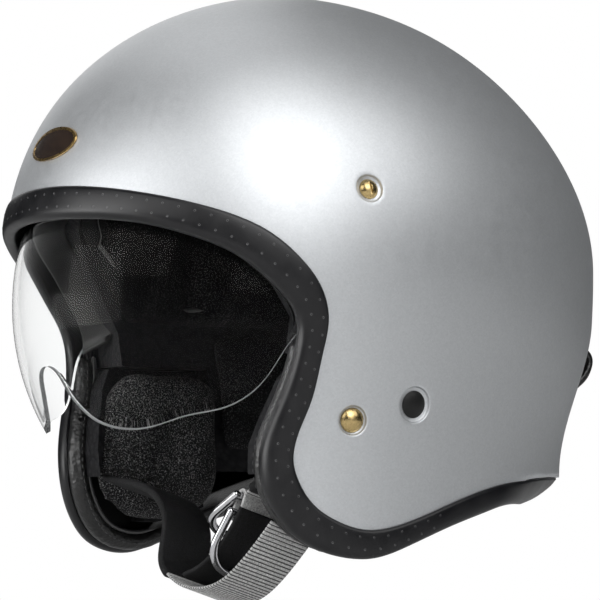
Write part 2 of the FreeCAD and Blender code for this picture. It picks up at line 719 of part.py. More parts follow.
def main():
    os.makedirs("parts", exist_ok=True)
    save("outer_shell", make_shell())
    trim, skirt = make_trim()
    save("edge_trim", trim)
    save("nape_skirt", skirt)
    save("impact_liner", make_liner())
    save("crown_pad", make_crown_pad())
    save("neck_pad", make_neck_pad())
    save("visor_lens", make_lens())
    save("brow_frame", make_frame())
    save("visor_screws", both_sides(make_visor_screw()))
    save("strap_rivets", both_sides(make_strap_rivet()))
    save("blanking_plugs", both_sides(make_plug()))
    for name, piece in (("visor_pin", make_visor_pin()), ("visor_base", make_visor_base()),
                        ("ear_pad", make_ear_pad()), ("cheek_block", make_cheek_block()),
                        ("cheek_pad", make_cheek_pad()), ("cheek_roll", make_cheek_roll()),
                        ("strap_hanger", make_hanger())):
        save(name + "_left", piece)
        save(name + "_right", mirrored(piece))
    save("pad_snaps", make_pad_snaps())
    save("strap_short", make_short_strap())
    save("strap_long", webbing(STRAP_LONG, WEB_W, WEB_T))
    for name, bar, angle in zip(("d_ring_upper", "d_ring_lower"), RING_BARS, RING_ANGLES):
        save(name, make_ring(bar, angle))
    bezel, plate = make_badge()
    save("badge_bezel", bezel)
    save("badge_plate", plate)
    stud, cap = make_snap()
    rivets = make_tab_rivets()
    save("goggle_tab", make_goggle_tab().cut(cap))
    save("tab_mount", make_tab_mount().cut(rivets))
    save("tab_rivets", rivets)
    save("snap_stud", stud)
    save("snap_cap", cap)


main()
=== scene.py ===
"""Looks of the open face motorcycle helmet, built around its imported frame.

+X is the wearer's left, -Y the front, +Z up, origin in the middle of the head cavity.
Points are in mm here, and make_mesh turns them into metres.
The dome, the rim outlines and the strap's route repeat the sizes of the CAD source.
"""
import bmesh
import bpy
import math
import numpy as np
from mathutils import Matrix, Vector, kdtree


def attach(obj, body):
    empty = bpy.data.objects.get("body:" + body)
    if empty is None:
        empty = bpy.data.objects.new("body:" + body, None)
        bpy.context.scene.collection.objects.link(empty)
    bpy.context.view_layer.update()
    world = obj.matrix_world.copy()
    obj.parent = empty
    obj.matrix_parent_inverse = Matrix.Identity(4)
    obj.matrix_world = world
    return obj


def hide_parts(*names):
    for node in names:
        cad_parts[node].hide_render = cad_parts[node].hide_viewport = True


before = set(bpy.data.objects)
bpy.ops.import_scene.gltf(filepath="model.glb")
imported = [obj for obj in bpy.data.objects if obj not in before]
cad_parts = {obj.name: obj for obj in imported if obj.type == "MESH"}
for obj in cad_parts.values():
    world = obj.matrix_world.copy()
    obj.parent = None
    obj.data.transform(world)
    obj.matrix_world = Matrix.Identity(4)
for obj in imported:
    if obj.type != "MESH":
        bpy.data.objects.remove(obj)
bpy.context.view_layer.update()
MM = 0.001

# ---------------------------------------------------------------- the dome, in mm

OUTSIDE = (137.0, 166.0, 121.5, 130.5)       # front, back, side and crown reach of the shell
CAVITY = (103.0, 116.0, 89.0, 94.5)          # the same for the inner face of the foam liner
WIDEST_Z = 15.5
FULLNESS = (0.024, -0.042, -0.002)           # front, back, side
FRONT_CORNER = -0.005
BACK_CORNER = 0.023
TUCK_FRONT = 70.0
TUCK_SIDE = 68.0
NAPE_TUCK = 21.0
NAPE_TOP_Z = -10.0
NAPE_DROP = 72.0
DOME_FLOOR = -132.0
SHELL_T = 4.0

EDGE = [(-165, 54), (-136, 46.5), (-118, 40.3), (-100, 33.6), (-80, 24), (-64.4, 10.5),
        (-54.4, -3), (-50.3, -16), (-51.2, -31), (-54.3, -52.5), (-59, -68), (-60.3, -79),
        (-57, -90), (-49.3, -100.5), (-37, -107.5), (-22.8, -110), (-7, -107), (20, -98),
        (47.8, -90.5), (80, -86.5), (115, -85.5), (175, -86)]
LIP = [(-165, 37), (-136, 31), (-118, 26.5), (-100.3, 18.9), (-84, 9), (-71, -3.5),
       (-64.3, -12), (-61.3, -21), (-62, -34.5), (-66.2, -52.5), (-71, -70), (-71.5, -82),
       (-68.5, -96), (-58, -112), (-43.3, -120.5), (-24, -123), (-6.9, -118.5), (20, -108.8),
       (48, -101), (80, -93.5), (115, -90.5), (175, -90)]
BROW_KNOT = 4            # outline points where the brow, side and nape stretches meet
NAPE_KNOT = 18
SHELL_RIM_SHARE = 0.72
NAPE_START_Y = 48.0
NAPE_CHANGE = 30.0
SKIRT_START_Y = 12.0


def inset(depth):
    """Sizes of the dome that lies this far inside the shell's outer face."""
    return tuple(reach - depth for reach in OUTSIDE)


def dome_radii(z, size):
    """Reach of the dome to the front, back and side at a height, and the crown's narrowing there."""
    front, back, side, crown = size
    c = np.clip((z - WIDEST_Z) / crown, 0, 1)
    s = np.sqrt(1 - c * c)
    mid = (2 * s * c) ** 2
    drop = np.maximum(WIDEST_Z - z, 0)
    u = np.clip((NAPE_TOP_Z - z) / NAPE_DROP, 0, 1)

    def tuck(reach, depth):
        return reach / (2 * crown * crown) * drop * drop / (1 + (drop / depth) ** 2)

    return (front * s * (1 + FULLNESS[0] * mid) - tuck(front, TUCK_FRONT),
            back * s * (1 + FULLNESS[1] * mid) - NAPE_TUCK * (3 * u * u - 2 * u ** 3),
            side * s * (1 + FULLNESS[2] * mid) - tuck(side, TUCK_SIDE), s)


def dome_point(angle, z, size):
    """Points of the dome at plan angles measured from the front towards +X."""
    angle, z = np.broadcast_arrays(np.asarray(angle, float), np.asarray(z, float))
    front, back, side, s = (np.maximum(r, 1e-6) for r in dome_radii(z, size))
    ct, st = np.cos(angle), np.sin(angle)
    w = (1 + ct) / 2
    r = 1 / np.sqrt((st / side) ** 2 + ct ** 2 * (w / front ** 2 + (1 - w) / back ** 2))
    corner = (FRONT_CORNER + BACK_CORNER) / 2 + (FRONT_CORNER - BACK_CORNER) / 2 * ct
    r = r * (1 + corner * np.sin(2 * angle) ** 2 * s * s)
    return np.stack([r * st, -r * ct, z], -1)


def side_angle(y, z, size):
    """Plan angle at which the left half of the dome passes through (y, z)."""
    y, z = np.broadcast_arrays(np.asarray(y, float), np.asarray(z, float))
    low, high = np.zeros(y.shape), np.full(y.shape, math.pi)
    for _ in range(40):
        mid = (low + high) / 2
        ahead = dome_point(mid, z, size)[..., 1] < y
        low, high = np.where(ahead, mid, low), np.where(ahead, high, mid)
    return (low + high) / 2


def side_point(y, z, size):
    """Point of the dome's left half over a place in the side view."""
    return dome_point(side_angle(y, z, size), z, size)


def side_normal(y, z, size):
    """Outward normal of the dome's left half there."""
    step = 0.5
    x_y = (side_point(y + step, z, size)[0] - side_point(y - step, z, size)[0]) / (2 * step)
    x_z = (side_point(y, z + step, size)[0] - side_point(y, z - step, size)[0]) / (2 * step)
    n = np.array([1.0, -x_y, -x_z])
    return n / np.linalg.norm(n)


# ---------------------------------------------------------------- curves

def chords(points):
    """Length along a line of points, from its start to each of them."""
    steps = np.linalg.norm(np.diff(points, axis=0), axis=1)
    return np.concatenate([[0], np.cumsum(steps)])


def spline(points, t, knots=None):
    """Natural cubic spline through points, at parameters t measured along knots."""
    points = np.asarray(points, float)
    knots = chords(points) if knots is None else knots
    n = len(points)
    h = np.diff(knots)
    system = np.eye(n)
    right = np.zeros((n, points.shape[1]))
    for i in range(1, n - 1):
        system[i, i - 1:i + 2] = (h[i - 1], 2 * (h[i - 1] + h[i]), h[i])
        right[i] = 6 * ((points[i + 1] - points[i]) / h[i] - (points[i] - points[i - 1]) / h[i - 1])
    bend = np.linalg.solve(system, right)
    t = np.asarray(t, float)
    i = np.clip(np.searchsorted(knots, t, side="right") - 1, 0, n - 2)
    hi = h[i][:, None]
    a = ((knots[i + 1] - t)[:, None]) / hi
    b = ((t - knots[i])[:, None]) / hi
    return (a * points[i] + b * points[i + 1]
            + ((a ** 3 - a) * bend[i] + (b ** 3 - b) * bend[i + 1]) * hi ** 2 / 6)


def smooth(points, count):
    """Evenly spaced points on the spline through the given ones."""
    points = np.asarray(points, float)
    dense = spline(points, np.linspace(0, chords(points)[-1], max(20 * len(points), 4 * count)))
    return even(dense, count)


def even(line, count):
    """Evenly spaced points along a line, without smoothing it."""
    along = chords(line)
    wanted = np.linspace(0, along[-1], count)
    return np.stack([np.interp(wanted, along, line[:, k]) for k in range(line.shape[1])], 1)


def mirror_x(points):
    return points * np.array([-1.0, 1.0, 1.0])


# ---------------------------------------------------------------- the rim

RIM_KNOTS = chords((np.array(EDGE, float) + np.array(LIP, float)) / 2)


def outline(share, t):
    """Side view (y, z) of the line that lies this share of the way from edge to lip."""
    mixed = (1 - share) * np.array(EDGE, float) + share * np.array(LIP, float)
    return spline(mixed, t, RIM_KNOTS)


def end_stretch(share, part, size, knots):
    """Brow or nape stretch of the rim, evenly turned about the vertical."""
    first, last = knots
    line = outline(share, np.linspace(RIM_KNOTS[first], RIM_KNOTS[last], 400))
    joint = line[-1] if first == 0 else line[0]
    start = side_angle(joint[0], joint[1], size)
    angle = start * part if first == 0 else start + (math.pi - start) * part
    z = np.full(angle.shape, joint[1])
    for _ in range(25):
        z = np.interp(dome_point(angle, z, size)[:, 1], line[:, 0], line[:, 1])
    return dome_point(angle, z, size)


def rim_point(tau, share, size):
    """Points of the left half of the rim: tau 0 front centre, 1 brow end, 2 nape start, 3 back centre."""
    tau = np.asarray(tau, float)
    brow, nape = tau <= 1, tau > 2
    out = np.zeros((len(tau), 3))
    t = np.interp(tau, (1, 2), (RIM_KNOTS[BROW_KNOT], RIM_KNOTS[NAPE_KNOT]))
    side = outline(share, t)
    middle = ~(brow | nape)
    out[middle] = side_point(side[middle, 0], side[middle, 1], size)
    out[brow] = end_stretch(share, tau[brow], size, (0, BROW_KNOT))
    out[nape] = end_stretch(share, tau[nape] - 2, size, (NAPE_KNOT, len(EDGE) - 1))
    return out


def rim_stations(spacing, start=0.0, stop=3.0):
    """tau values evenly spaced along the middle of the rim."""
    tau = np.linspace(start, stop, 900)
    along = chords(rim_point(tau, 0.5, OUTSIDE))
    return np.interp(np.linspace(0, along[-1], int(round(along[-1] / spacing)) + 1), along, tau)


def tau_at_y(y):
    """tau on the lower side of the rim where it passes y."""
    tau = np.linspace(1.5, 2.2, 400)
    line = rim_point(tau, 0.5, OUTSIDE)
    return float(tau[np.argmin(np.abs(line[:, 1] - y) + 1000 * (line[:, 2] > -60))])


def eased(value):
    value = np.clip(value, 0, 1)
    return value * value * (3 - 2 * value)


def nape_share(y):
    """How far the shell's rim has drawn back to the edge line, 0 beside the face to 1 at the nape."""
    return eased((y - NAPE_START_Y) / NAPE_CHANGE)[:, None]


def above_rim(y, z):
    """Whether side-view points lie on the helmet's side of the shell's rim."""
    t = np.linspace(0, RIM_KNOTS[-1], 500)
    line = outline(SHELL_RIM_SHARE, t)
    back = nape_share(line[:, 0])
    line = line * (1 - back) + outline(0, t) * back
    loop = np.vstack([line, [(line[-1][0], 400), (line[0][0], 400)]])
    inside = np.zeros(y.shape, bool)
    for (y0, z0), (y1, z1) in zip(loop, np.roll(loop, -1, axis=0)):
        if z0 != z1:
            crosses = (z0 > z) != (z1 > z)
            inside ^= crosses & (y < (y1 - y0) * (z - z0) / (z1 - z0) + y0)
    return inside


# ---------------------------------------------------------------- meshes

def make_mesh(name, points, faces, flat=False):
    """New object from points in mm."""
    mesh = bpy.data.meshes.new(name)
    mesh.from_pydata((np.asarray(points, float) * MM).tolist(), [], [list(map(int, f)) for f in faces])
    mesh.validate()
    mesh.update()
    mesh.polygons.foreach_set("use_smooth", [not flat] * len(mesh.polygons))
    piece = bpy.data.objects.new(name, mesh)
    bpy.context.scene.collection.objects.link(piece)
    return piece


def grid_faces(rows, columns, wrap_rows=False, wrap_columns=False, start=0):
    """Quads over rows and columns of points, whose numbers begin at start."""
    i = np.arange(rows if wrap_rows else rows - 1)
    j = np.arange(columns if wrap_columns else columns - 1)
    i, j = (a.ravel() for a in np.meshgrid(i, j, indexing="ij"))
    i1, j1 = (i + 1) % rows, (j + 1) % columns
    return start + np.stack([i * columns + j, i1 * columns + j, i1 * columns + j1, i * columns + j1], 1)


def belt(first, second):
    """Faces between two closed rings of point numbers."""
    n = len(first)
    return [[first[k], first[(k + 1) % n], second[(k + 1) % n], second[k]] for k in range(n)]


def edges_of(faces):
    """Border edges of a sheet: those that only one face has."""
    pairs = {}
    for face in faces:
        for a, b in zip(face, np.roll(face, -1)):
            key = (int(b), int(a))
            if key in pairs:
                del pairs[key]
            else:
                pairs[(int(a), int(b))] = True
    return list(pairs)


def double(faces, count):
    """A sheet's faces, the same on its copy count points on, and the edge wall between the two."""
    faces = np.asarray(faces)
    walls = [[b, a, a + count, b + count] for a, b in edges_of(faces)]
    return faces.tolist() + (faces[:, ::-1] + count).tolist() + walls


def loft(name, sections, closed=False, caps=True):
    """Skin over closed sections, (stations, points, 3). Open lofts get end caps."""
    rows, columns = sections.shape[:2]
    faces = grid_faces(rows, columns, wrap_rows=closed, wrap_columns=True).tolist()
    if caps and not closed:
        faces.append(list(range(columns)))
        faces.append(list(range(rows * columns - 1, (rows - 1) * columns - 1, -1)))
    piece = make_mesh(name, sections.reshape(-1, 3), faces)
    face_outwards(piece)
    return piece


def face_outwards(piece):
    bm = bmesh.new()
    bm.from_mesh(piece.data)
    bmesh.ops.recalc_face_normals(bm, faces=bm.faces)
    bm.to_mesh(piece.data)
    bm.free()


def join(name, pieces):
    """One object from several. The parts are removed."""
    bm = bmesh.new()
    for piece in pieces:
        bm.from_mesh(piece.data)
    mesh = bpy.data.meshes.new(name)
    bm.to_mesh(mesh)
    bm.free()
    for piece in pieces:
        bpy.data.objects.remove(piece)
    result = bpy.data.objects.new(name, mesh)
    bpy.context.scene.collection.objects.link(result)
    return result


def mirrored_copy(piece, name):
    """The same piece on the wearer's other side."""
    mesh = piece.data.copy()
    mesh.name = name
    flip = np.array([v.co for v in mesh.vertices]) * (-1, 1, 1)
    mesh.vertices.foreach_set("co", flip.ravel())
    mesh.flip_normals()
    mesh.update()
    result = bpy.data.objects.new(name, mesh)
    bpy.context.scene.collection.objects.link(result)
    return result


def frames_along(line, closed=False):
    """Two directions across a line at each of its points, without twist."""
    ahead = np.roll(line, -1, axis=0) - np.roll(line, 1, axis=0)
    if not closed:
        ahead[0], ahead[-1] = line[1] - line[0], line[-1] - line[-2]
    ahead /= np.linalg.norm(ahead, axis=1)[:, None]
    first = np.cross(ahead[0], (0.3, 0.5, 0.81))
    u = [first / np.linalg.norm(first)]
    for a in ahead[1:]:
        b = u[-1] - a * np.dot(u[-1], a)
        u.append(b / np.linalg.norm(b))
    u = np.array(u)
    return u, np.cross(ahead, u)


def tube(name, line, radius, sides, closed=False):
    """Round tube along a line; its ends are drawn in when it is open."""
    u, v = frames_along(line, closed)
    angle = np.linspace(0, 2 * math.pi, sides, endpoint=False)
    ring = np.cos(angle)[None, :, None] * u[:, None] + np.sin(angle)[None, :, None] * v[:, None]
    size = np.full(len(line), float(radius))
    if not closed:
        along = chords(line)
        end = np.minimum(along, along[-1] - along) / radius
        size *= np.sqrt(1 - (1 - np.clip(end, 0.02, 1)) ** 2)
    return loft(name, line[:, None] + ring * size[:, None, None], closed)


STITCH_POINTS = 6


def stitches(name, line, outward, length, gap, radius):
    """Row of separate thread stitches along a line, standing a little proud of it."""
    along = chords(line)
    pieces = []
    for k in range(int(along[-1] / (length + gap))):
        s = np.linspace(k * (length + gap), k * (length + gap) + length, STITCH_POINTS)
        middle = np.stack([np.interp(s, along, line[:, i]) for i in range(3)], 1)
        lift = np.sin(np.linspace(0, math.pi, STITCH_POINTS))[:, None] * radius
        way = np.stack([np.interp(s, along, outward[:, i]) for i in range(3)], 1)
        pieces.append(tube("stitch", middle + way * lift, radius, sides=6))
    return join(name, pieces)


def applied(piece):
    """Replace the mesh by what its modifiers make of it."""
    graph = bpy.context.evaluated_depsgraph_get()
    mesh = bpy.data.meshes.new_from_object(piece.evaluated_get(graph))
    piece.modifiers.clear()
    piece.data = mesh
    mesh.polygons.foreach_set("use_smooth", [True] * len(mesh.polygons))
    return piece


def rounded(piece, width, segments, angle):
    """Bevel the edges sharper than angle degrees; width is in metres."""
    bevel = piece.modifiers.new("bevel", "BEVEL")
    bevel.width = width
    bevel.segments = segments
    bevel.limit_method = "ANGLE"
    bevel.angle_limit = math.radians(angle)
    bevel.harden_normals = False
    return applied(piece)


def subdivided(piece):
    sub = piece.modifiers.new("subdivision", "SUBSURF")
    sub.levels = 1
    sub.render_levels = 1
    return applied(piece)


PUFF_PRESSURE = 3.0
PUFF_CAP = 2.0           # how far a point may move
PUFF_VOXEL = 2.6
PUFF_STEPS = 20


def puff(pieces):
    """Cloth simulation of stuffed pads: each swells, by at most PUFF_CAP, then is smoothed."""
    rests = []
    for piece in pieces:
        remesh = piece.modifiers.new("remesh", "REMESH")
        remesh.mode = "VOXEL"
        remesh.voxel_size = PUFF_VOXEL * MM
        applied(piece)
        rests.append(np.array([v.co for v in piece.data.vertices]))
        cloth = piece.modifiers.new("cloth", "CLOTH")
        cloth.settings.use_pressure = True
        cloth.settings.uniform_pressure_force = PUFF_PRESSURE
        cloth.settings.effector_weights.gravity = 0
        cloth.settings.quality = 5
    scene = bpy.context.scene
    for number in range(1, PUFF_STEPS + 1):
        scene.frame_set(number)
    for piece, rest in zip(pieces, rests):
        applied(piece)
        now = np.array([v.co for v in piece.data.vertices])
        move = now - rest
        far = np.linalg.norm(move, axis=1)[:, None]
        move *= np.minimum(1, PUFF_CAP * MM / np.maximum(far, 1e-9))
        piece.data.vertices.foreach_set("co", (rest + move).ravel())
        piece.data.update()
        subdivided(piece)
    scene.frame_set(1)


# ---------------------------------------------------------------- materials

class Material:
    """Short way to write a node material."""

    def __init__(self, name, color, roughness, metallic=0.0, **values):
        self.material = bpy.data.materials.new(name)
        self.material.use_nodes = True
        self.nodes = self.material.node_tree.nodes
        self.links = self.material.node_tree.links
        self.shader = self.nodes["Principled BSDF"]
        self.set(self.shader, **{"Base Color": (*color, 1), "Roughness": roughness, "Metallic": metallic})
        self.set(self.shader, **values)
        self.place = self.node("ShaderNodeTexCoord").outputs["Object"]

    def node(self, kind, **values):
        node = self.nodes.new(kind)
        return self.set(node, **values)

    def set(self, node, **values):
        for key, value in values.items():
            node.inputs[key].default_value = value
        return node

    def link(self, source, node, key):
        self.links.new(source, node.inputs[key])

    def noise(self, scale, detail=2.0, roughness=0.5, kind="ShaderNodeTexNoise"):
        """Pattern over the piece's own coordinates; scale is in waves per metre."""
        values = {"Scale": scale}
        if kind == "ShaderNodeTexNoise":
            values.update({"Detail": detail, "Roughness": roughness})
        node = self.node(kind, **values)
        self.link(self.place, node, "Vector")
        return node

    def ramp(self, source, stops):
        """Colours in place of a value: (value, colour) stops."""
        node = self.nodes.new("ShaderNodeValToRGB")
        while len(node.color_ramp.elements) < len(stops):
            node.color_ramp.elements.new(0.5)
        for element, (at, color) in zip(node.color_ramp.elements, stops):
            element.position = at
            element.color = (*color, 1) if len(color) == 3 else color
        self.link(source, node, "Fac")
        return node.outputs["Color"]

    def spread(self, source, low, high, from_low=0.3, from_high=0.7):
        """A value moved from one range to another."""
        node = self.node("ShaderNodeMapRange", **{"From Min": from_low, "From Max": from_high,
                                                  "To Min": low, "To Max": high})
        self.link(source, node, "Value")
        return node.outputs["Result"]

    def colour(self, source, dark, light, low=0.3, high=0.75):
        """Base colour that runs from dark to light over a stretch of the source."""
        self.link(self.ramp(source, [(low, dark), (high, light)]), self.shader, "Base Color")

    def rough(self, source):
        self.link(source, self.shader, "Roughness")

    def bump(self, *heights):
        """Bumps on top of each other: (height source, distance in mm)."""
        before = None
        for source, distance in heights:
            node = self.node("ShaderNodeBump", **{"Strength": 1.0, "Distance": distance * MM})
            self.link(source, node, "Height")
            if before is not None:
                self.link(before, node, "Normal")
            before = node.outputs["Normal"]
        self.link(before, self.shader, "Normal")


def make_paint():
    paint = Material("shell_paint", (0.53, 0.545, 0.56), 0.4, 0.78,
                     **{"Coat Weight": 0.1, "Coat Roughness": 0.4})
    flakes = paint.noise(1400.0, kind="ShaderNodeTexVoronoi")
    mottled = paint.noise(260.0, 3.0)
    paint.colour(flakes.outputs["Color"], (0.50, 0.515, 0.53), (0.56, 0.575, 0.59), 0.0, 1.0)
    paint.rough(paint.spread(mottled.outputs["Fac"], 0.44, 0.50))
    paint.bump((flakes.outputs["Distance"], 0.007), (mottled.outputs["Fac"], 0.004))
    return paint.material


def make_rubber():
    rubber = Material("trim_rubber", (0.008, 0.008, 0.009), 0.36, **{"Specular IOR Level": 0.36})
    grain = rubber.noise(1800.0, 3.0)
    wear = rubber.noise(90.0, 4.0)
    rubber.colour(wear.outputs["Fac"], (0.004, 0.004, 0.005), (0.009, 0.009, 0.010))
    rubber.rough(rubber.spread(wear.outputs["Fac"], 0.30, 0.38))
    rubber.bump((grain.outputs["Fac"], 0.03))
    return rubber.material


# Lighter, shinier copy of the trim rubber for the pits: a painted highlight that makes them show as light
# specks.
def make_pit_rubber():
    pit = Material("pit_rubber_painted_highlight", (0.022, 0.022, 0.024), 0.25, **{"Specular IOR Level": 0.8})
    grain = pit.noise(900.0, 2.0)
    pit.rough(pit.spread(grain.outputs["Fac"], 0.3, 0.42))
    return pit.material


def make_plastic(name="black_plastic", level=0.009, roughness=0.36):
    plastic = Material(name, (level, level, level * 1.06), roughness, **{"Specular IOR Level": 0.22})
    grain = plastic.noise(1500.0, 3.0)
    cloud = plastic.noise(60.0, 3.0)
    plastic.colour(cloud.outputs["Fac"], (level * 0.8,) * 3, (level * 1.3,) * 3)
    plastic.rough(plastic.spread(cloud.outputs["Fac"], roughness - 0.05, roughness + 0.06))
    plastic.bump((grain.outputs["Fac"], 0.04))
    return plastic.material


def make_foam():
    foam = Material("liner_foam", (0.01, 0.01, 0.011), 0.75, **{"Specular IOR Level": 0.2})
    beads = foam.noise(330.0, kind="ShaderNodeTexVoronoi")
    foam.colour(beads.outputs["Distance"], (0.014, 0.014, 0.015), (0.004, 0.004, 0.005), 0.0, 0.8)
    foam.bump((beads.outputs["Distance"], -0.5))
    return foam.material


def make_lens_plastic():
    lens = Material("clear_lens", (0.985, 0.99, 0.99), 0.015,
                    **{"Transmission Weight": 1.0, "IOR": 1.1})
    haze = lens.noise(25.0, 2.0)
    lens.rough(lens.spread(haze.outputs["Fac"], 0.008, 0.022))
    return lens.material


# Paler, partly opaque copy of the clear lens for the visor's edge faces: a painted highlight.
def make_lens_edge_highlight():
    edge = Material("lens_edge_painted_highlight", (0.9, 0.92, 0.93), 0.06, **{"Transmission Weight": 0.75, "IOR": 1.58})
    polish = edge.noise(60.0, 2.0)
    edge.rough(edge.spread(polish.outputs["Fac"], 0.04, 0.1))
    return edge.material


SCRATCH_DEPTH = 0.01


def make_metal(name, color, roughness):
    metal = Material(name, color, roughness, 1.0)
    scuffs = metal.noise(420.0, 5.0, 0.7)
    cloud = metal.noise(120.0, 2.0)
    darker = tuple(c * 0.82 for c in color)
    metal.colour(cloud.outputs["Fac"], darker, color, high=0.7)
    metal.rough(metal.spread(scuffs.outputs["Fac"], roughness * 0.75, roughness * 1.35))
    metal.bump((scuffs.outputs["Fac"], SCRATCH_DEPTH))
    return metal.material


def make_pad_fabric(name, bright):
    """Black knit with pale flecks; bright scales the flecks."""
    fabric = Material(name, (0.02, 0.02, 0.022), 0.9, **{"Specular IOR Level": 0.15})
    flecks = fabric.noise(1500.0, 3.0, 0.65)
    patches = fabric.noise(45.0, 3.0)
    fluff = fabric.noise(2600.0, 2.0)
    knit, fleck, tip = (0.006, 0.006, 0.007), (0.10 * bright,) * 3, (0.5 * bright,) * 3
    fleck_color = fabric.ramp(flecks.outputs["Fac"], [(0.5, knit), (0.57, fleck), (0.68, tip)])
    shade = fabric.ramp(patches.outputs["Fac"], [(0.35, (0.45, 0.45, 0.45)), (0.7, (1.0, 1.0, 1.0))])
    mix = fabric.nodes.new("ShaderNodeMix")
    mix.data_type = "RGBA"
    mix.blend_type = "MULTIPLY"
    mix.inputs["Factor"].default_value = 1.0
    fabric.links.new(fleck_color, mix.inputs["A"])
    fabric.links.new(shade, mix.inputs["B"])
    fabric.link(mix.outputs["Result"], fabric.shader, "Base Color")
    fabric.bump((flecks.outputs["Fac"], 0.5), (fluff.outputs["Fac"], 0.15))
    return fabric.material


def make_leather():
    leather = Material("leather", (0.008, 0.008, 0.008), 0.34, **{"Specular IOR Level": 0.55})
    grain = leather.noise(620.0, kind="ShaderNodeTexVoronoi")
    crease = leather.noise(150.0, 5.0, 0.6)
    leather.colour(crease.outputs["Fac"], (0.003, 0.003, 0.003), (0.008, 0.008, 0.008), high=0.7)
    leather.rough(leather.spread(crease.outputs["Fac"], 0.3, 0.42))
    leather.bump((grain.outputs["Distance"], 0.22), (crease.outputs["Fac"], 0.35))
    return leather.material


def make_piping():
    cord = Material("piping", (0.03, 0.03, 0.031), 0.33, **{"Specular IOR Level": 0.7})
    grain = cord.noise(700.0, 2.0)
    cord.bump((grain.outputs["Fac"], 0.08))
    return cord.material


def make_webbing(name, dark, light):
    webbing = Material(name, light, 0.78, **{"Specular IOR Level": 0.25})
    yarn = webbing.noise(1400.0, 3.0, 0.65)
    soil = webbing.noise(70.0, 3.0)
    webbing.colour(yarn.outputs["Fac"], dark, light, 0.32, 0.68)
    webbing.rough(webbing.spread(soil.outputs["Fac"], 0.7, 0.85))
    webbing.bump((yarn.outputs["Fac"], 0.25))
    return webbing.material


def make_enamel():
    enamel = Material("badge_dark", (0.022, 0.014, 0.010), 0.18,
                      **{"Coat Weight": 0.8, "Coat Roughness": 0.06})
    cloud = enamel.noise(300.0, 3.0)
    enamel.colour(cloud.outputs["Fac"], (0.016, 0.010, 0.008), (0.032, 0.02, 0.014), high=0.7)
    return enamel.material


PAINT = make_paint()
RUBBER = make_rubber()
PIT_HIGHLIGHT = make_pit_rubber()
PLASTIC = make_plastic()
FRAME_PLASTIC = make_plastic("frame_plastic", 0.022, 0.34)
SHELL_INSIDE = make_plastic("raw_composite", 0.012, 0.6)
FOAM = make_foam()
LENS = make_lens_plastic()
LENS_EDGE_HIGHLIGHT = make_lens_edge_highlight()
BRASS = make_metal("brass", (0.55, 0.41, 0.19), 0.26)
STEEL = make_metal("steel", (0.55, 0.55, 0.56), 0.28)
CHROME = make_metal("chrome", (0.62, 0.62, 0.64), 0.12)
GOLD = make_metal("badge_gold", (0.62, 0.42, 0.17), 0.27)
FABRIC = make_pad_fabric("pad_fabric", 0.7)
LINING = make_pad_fabric("lining_fabric", 0.22)
LEATHER = make_leather()
PIPING = make_piping()
WEBBING = make_webbing("webbing", (0.22, 0.22, 0.22), (0.62, 0.62, 0.61))
BLACK_WEBBING = make_webbing("black_webbing", (0.003, 0.003, 0.003), (0.012, 0.012, 0.013))
# darker copy of the webbing for the faces between the ribs: painted shade in the grooves
GROOVE_SHADE = make_webbing("webbing_groove_painted_shade", (0.03, 0.03, 0.03), (0.08, 0.08, 0.08))
ENAMEL = make_enamel()


def finish_piece(piece, body, material, nodes=()):
    """Material, body, and the CAD nodes the piece stands for."""
    piece.data.materials.clear()
    piece.data.materials.append(material)
    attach(piece, body)
    if nodes:
        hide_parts(*nodes)


# ---------------------------------------------------------------- shell

SHELL_STEPS = 240
SHELL_MIDDLE_Z = 0.015   # in metres; faces that look back to the middle at this height are the inside
# side-view place, dimple radius, dimple depth and hole radius of each fastener
FASTENERS = (((-31.0, 42.0), 6.4, 1.7, 3.1), ((-35.0, -61.5), 6.7, 1.5, 4.1),
             ((-4.0, -54.0), 8.2, 1.5, 5.2))


def wrapped_grid(size, steps):
    """Square grid wrapped over the dome, so that it has no pole."""
    over_top = math.pi / 2 * size[3]
    below = WIDEST_Z - DOME_FLOOR
    equator = over_top / (over_top + below)
    a, b = np.meshgrid(np.linspace(-1, 1, steps + 1), np.linspace(-1, 1, steps + 1), indexing="ij")
    x, y = a * np.sqrt(1 - b * b / 2), b * np.sqrt(1 - a * a / 2)
    rho = np.minimum(np.hypot(x, y), 1.0)
    z = np.where(rho < equator, WIDEST_Z + size[3] * np.cos(rho / equator * math.pi / 2),
                 WIDEST_Z - (rho - equator) / (1 - equator) * below)
    return dome_point(np.arctan2(x, -y), z, size).reshape(-1, 3)


def across(normal):
    """Two directions at right angles to the normal."""
    u = np.cross(normal, (0, 0, 1.0))
    u /= np.linalg.norm(u)
    return u, np.cross(normal, u)


def ring_points(centre, normal, radius, depth, angles):
    """Flat ring round a normal, this deep under its centre."""
    u, v = across(normal)
    return (centre - normal * depth
            + radius * (np.cos(angles)[:, None] * u + np.sin(angles)[:, None] * v))


def on_side(points, size, sign):
    """Points moved sideways onto the dome's left (sign 1) or right half."""
    out = side_point(points[:, 1], points[:, 2], size)
    out[:, 0] *= sign
    return out


def snap_to_rim(skin, rim_verts, size):
    """Move the rim points of one skin onto the rim line."""
    tau = rim_stations(0.6)
    half = rim_point(tau, SHELL_RIM_SHARE, size)
    back = nape_share(half[:, 1])
    half = half * (1 - back) + rim_point(tau, 0.0, size) * back
    line = np.vstack([half, mirror_x(half)])
    tree = kdtree.KDTree(len(line))
    for k, point in enumerate(line):
        tree.insert(point, k)
    tree.balance()
    for v in rim_verts:
        skin[v] = tree.find(skin[v])[0]


